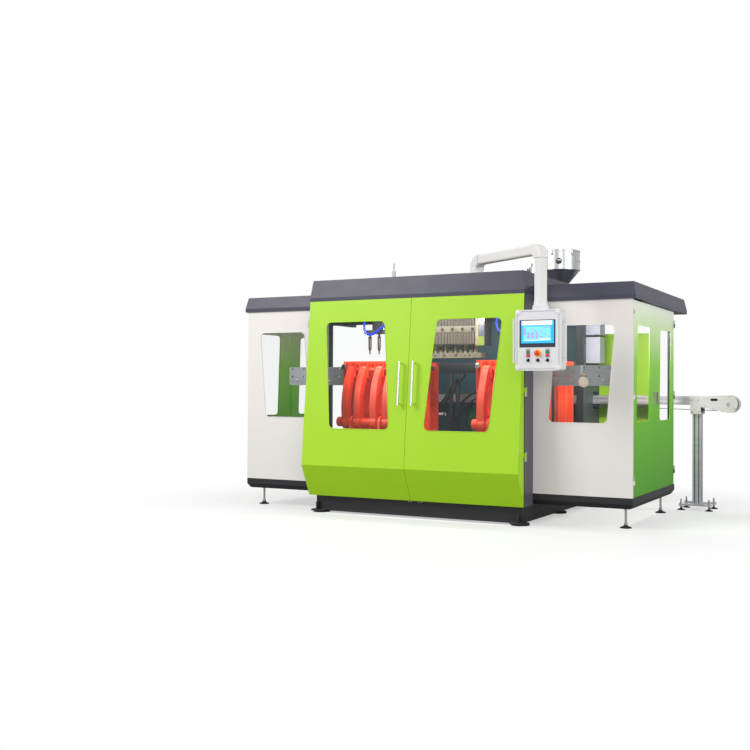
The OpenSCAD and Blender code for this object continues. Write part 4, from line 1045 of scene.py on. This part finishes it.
# %% Feet
NUT = [(0.019, 0), (0.019, 0.016), (0.016, 0.018)]
LOCK_NUT = [(0.014, 0), (0.014, 0.011), (0.012, 0.0117)]
STEM = [(0.014, 0), (0.014, 0.012), (0.0085, 0.0122), (0.0085, 0.050), (0.007, 0.052)]
PAD = [(0.088, 0), (0.088, 0.008), (0.080, 0.012), (0.030, 0.0125)]
PAD_X, GUSSET_X = 1.115, 1.125
stems = [(sign * 2.060, y) for _, sign in SIDES for y in (0.430, 1.860)]
bolts("cabin_foot_nuts", [(x, y, 0.176) for x, y in stems], UP, zinc, steps=NUT, sides=6)
bolts("cabin_pad_nuts", [(x, y, 0.0305) for x, y in stems], UP, zinc, steps=NUT, sides=6)
stems = [(STAND_X + across * 0.148, STAND_Y + along * 0.140) for across in (-1, 1) for along in (-1, 1)]
bolts("stand_foot_nuts", [(x, y, 0.0702) for x, y in stems], UP, zinc, steps=STEM)
bolts("stand_lock_nuts", [(x, y, 0.0382) for x, y in stems], UP, zinc, steps=LOCK_NUT, sides=6)
for k, (_, sign) in enumerate(SIDES):
    settle(turned((sign * PAD_X, 0.075, 0.0202), UP, PAD, 32), f"corner_pad_{k}", dark_iron)
for k, (_, sign) in enumerate(SIDES):
    gusset = cut_block((sign * GUSSET_X - 0.006, 0.030, 0.028), (sign * GUSSET_X + 0.006, 0.082, 0.110))
    settle(gusset, f"corner_gusset_{k}", dark_iron)
print("stems:", 2 * len(stems))

# %% [markdown]
# ## Conveyor details
# The end plate has a slot where the belt is tightened, with a black plate behind it as painted shade for
# the slot's dark inside, and small screws where the profiles and the bracket are fixed. The drum's shaft
# ends in a square, which rides on the drum so that it turns with it.

# %% Conveyor details
SCREW = [(0.006, 0), (0.006, 0.003), (0.003, 0.0045)]
BRACKET_SCREW = [(0.008, 0), (0.008, 0.004), (0.004, 0.006)]
SQUARE = [(0.024, 0), (0.024, 0.002), (0.011, 0.0022), (0.011, 0.004), (0.008, 0.005)]
PLATE_SCREWS = ((2.31, 1.222), (2.37, 1.222), (2.62, 1.088), (2.52, 1.115), (2.44, 1.142),
                (2.75, 1.115), (2.70, 1.238), (2.47, 1.215), (2.60, 1.20))
# A black plate behind the slot, painted shade for its dark inside.
settle(cut_block((2.494, 2.2895, 1.186), (2.576, 2.2925, 1.230), 0.001), "belt_slot_shade", rubber_black)
bolts("conveyor_screws", [(x, 2.2851, z) for x, z in PLATE_SCREWS], FORWARD, zinc, steps=SCREW)
bracket = [(STAND_X + dx, 2.2791, z) for dx in (-0.035, 0.035) for z in (1.075, 1.205)]
bolts("bracket_screws", bracket, FORWARD, zinc, steps=BRACKET_SCREW)
settle(turned((2.685, 2.2812, 1.162), FORWARD, SQUARE, 4), "drum_square", zinc, "end_drum")
print("conveyor screws:", len(PLATE_SCREWS) + len(bracket))

# %% [markdown]
# ## Hinges and plinth
# Small things that finish the outside: screws along the door hinges, a row of round-headed screws in the
# plinth below the meeting edge of the doors, and a flange along the plinth's foot.

# %% Hinge screws and plinth
HINGE_X, HINGE_Z = 1.2081, (0.620, 1.240, 1.950)
HINGE_SCREW = [(0.0055, 0), (0.0055, 0.002), (0.003, 0.003)]
PLINTH_SCREW = [(0.006, 0), (0.006, 0.002), (0.003, 0.0035)]
PLINTH_X = (-0.06, -0.03, 0.05, 0.08)
for side, sign in SIDES:
    places = [(sign * HINGE_X, 0.036, z + dz) for z in HINGE_Z for dz in (0.018, 0.070)]
    bolts(f"{side}_hinge_screws", places, (sign, 0, 0), zinc, steps=HINGE_SCREW)
bolts("plinth_screws", [(x, 0.0799, 0.166) for x in PLINTH_X], FORWARD, zinc, steps=PLINTH_SCREW)
settle(cut_block((-1.1490, 0.0735, 0.0205), (1.1490, 0.0805, 0.0400)), "plinth_flange", black_coat)
print("hinge screws:", 2 * len(places))

# %% [markdown]
# ## Hopper
# The hopper's lid is held by three spring latches round its rim, and a round window shows the level of
# the granulate. A latch is cut at the origin and swung out to the rim, so one set of corners serves all.

# %% Latches and window
LATCH_ANGLES, WINDOW_ANGLE = (205, 265, 325), 285
LATCH_REACH, WINDOW_REACH = 0.229, 0.225
WINDOW = [(0.034, -0.004), (0.034, 0.006), (0.026, 0.009), (0.024, 0.004)]
low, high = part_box("hopper")
middle = (low + high) / 2


def outward(degrees):
    """The level direction at an angle round the hopper."""
    a = math.radians(degrees)
    return Vector((math.cos(a), math.sin(a), 0))


for k, angle in enumerate(LATCH_ANGLES):
    out = outward(angle)
    latch = cut_block((-0.014, -0.004, -0.035), (0.014, 0.006, 0.035), 0.003)
    place = Vector((middle.x, middle.y, high.z - 0.030)) + out * LATCH_REACH
    latch.matrix_world = Matrix.Translation(place) @ out.to_track_quat("Y", "Z").to_matrix().to_4x4()
    settle(latch, f"hopper_latch_{k}", zinc)
out = outward(WINDOW_ANGLE)
place = Vector((middle.x, middle.y, high.z - 0.135)) + out * WINDOW_REACH
settle(turned(place, out, WINDOW, 32), "hopper_window", bezel_grey)

# %% [markdown]
# ## The floor
# A wide square of white paint that catches the machine's shadow. A mask on the distance from the machine
# mixes its paint with plain white, so that no line shows where it meets the backdrop. For the light that
# bounces off it the paint is a darker grey, or the white floor would light the machine from below.

# %% Floor
bpy.ops.mesh.primitive_plane_add(size=60, location=(0, 0, 0))
floor = bpy.context.object
floor.name = "floor"
floor_paint = finish_of("floor_paint", (246, 246, 246), 0.55)
tree = floor_paint.node_tree
where = tree.nodes.new("ShaderNodeTexCoord")
centre = tree.nodes.new("ShaderNodeVectorMath")
centre.operation = "SUBTRACT"
centre.inputs[1].default_value = (0.3, 1.0, 0)
reach = tree.nodes.new("ShaderNodeVectorMath")
reach.operation = "LENGTH"
fade = tree.nodes.new("ShaderNodeMapRange")
fade.interpolation_type = "SMOOTHSTEP"
fade.inputs["From Min"].default_value = 2.6
fade.inputs["From Max"].default_value = 4.6
fade.inputs["To Min"].default_value = 0.5
path = tree.nodes.new("ShaderNodeLightPath")
amount = tree.nodes.new("ShaderNodeMath")
amount.operation = "MULTIPLY"
tree.links.new(where.outputs["Object"], centre.inputs[0])
tree.links.new(centre.outputs[0], reach.inputs[0])
tree.links.new(reach.outputs["Value"], fade.inputs["Value"])
tree.links.new(fade.outputs["Result"], amount.inputs[0])
tree.links.new(path.outputs["Is Camera Ray"], amount.inputs[1])
print("floor fades from", fade.inputs["From Min"].default_value, "m out")

# %% [markdown]
# The mask is ready. What is left is the paint in its two tones, the plain white, and their mix.

# %% Floor paint
shader = tree.nodes["Principled BSDF"]
white = tree.nodes.new("ShaderNodeEmission")
mix = tree.nodes.new("ShaderNodeMixShader")
tone = tree.nodes.new("ShaderNodeMix")
tone.data_type = "RGBA"
tone.inputs[6].default_value = (0.30, 0.30, 0.30, 1)
tone.inputs[7].default_value = (*paint_value(246, 246, 246), 1)
tree.links.new(path.outputs["Is Camera Ray"], tone.inputs[0])
tree.links.new(tone.outputs[2], shader.inputs["Base Color"])
tree.links.new(amount.outputs[0], mix.inputs["Fac"])
tree.links.new(shader.outputs[0], mix.inputs[1])
tree.links.new(white.outputs[0], mix.inputs[2])
tree.links.new(mix.outputs[0], tree.nodes["Material Output"].inputs["Surface"])
floor.data.materials.append(floor_paint)
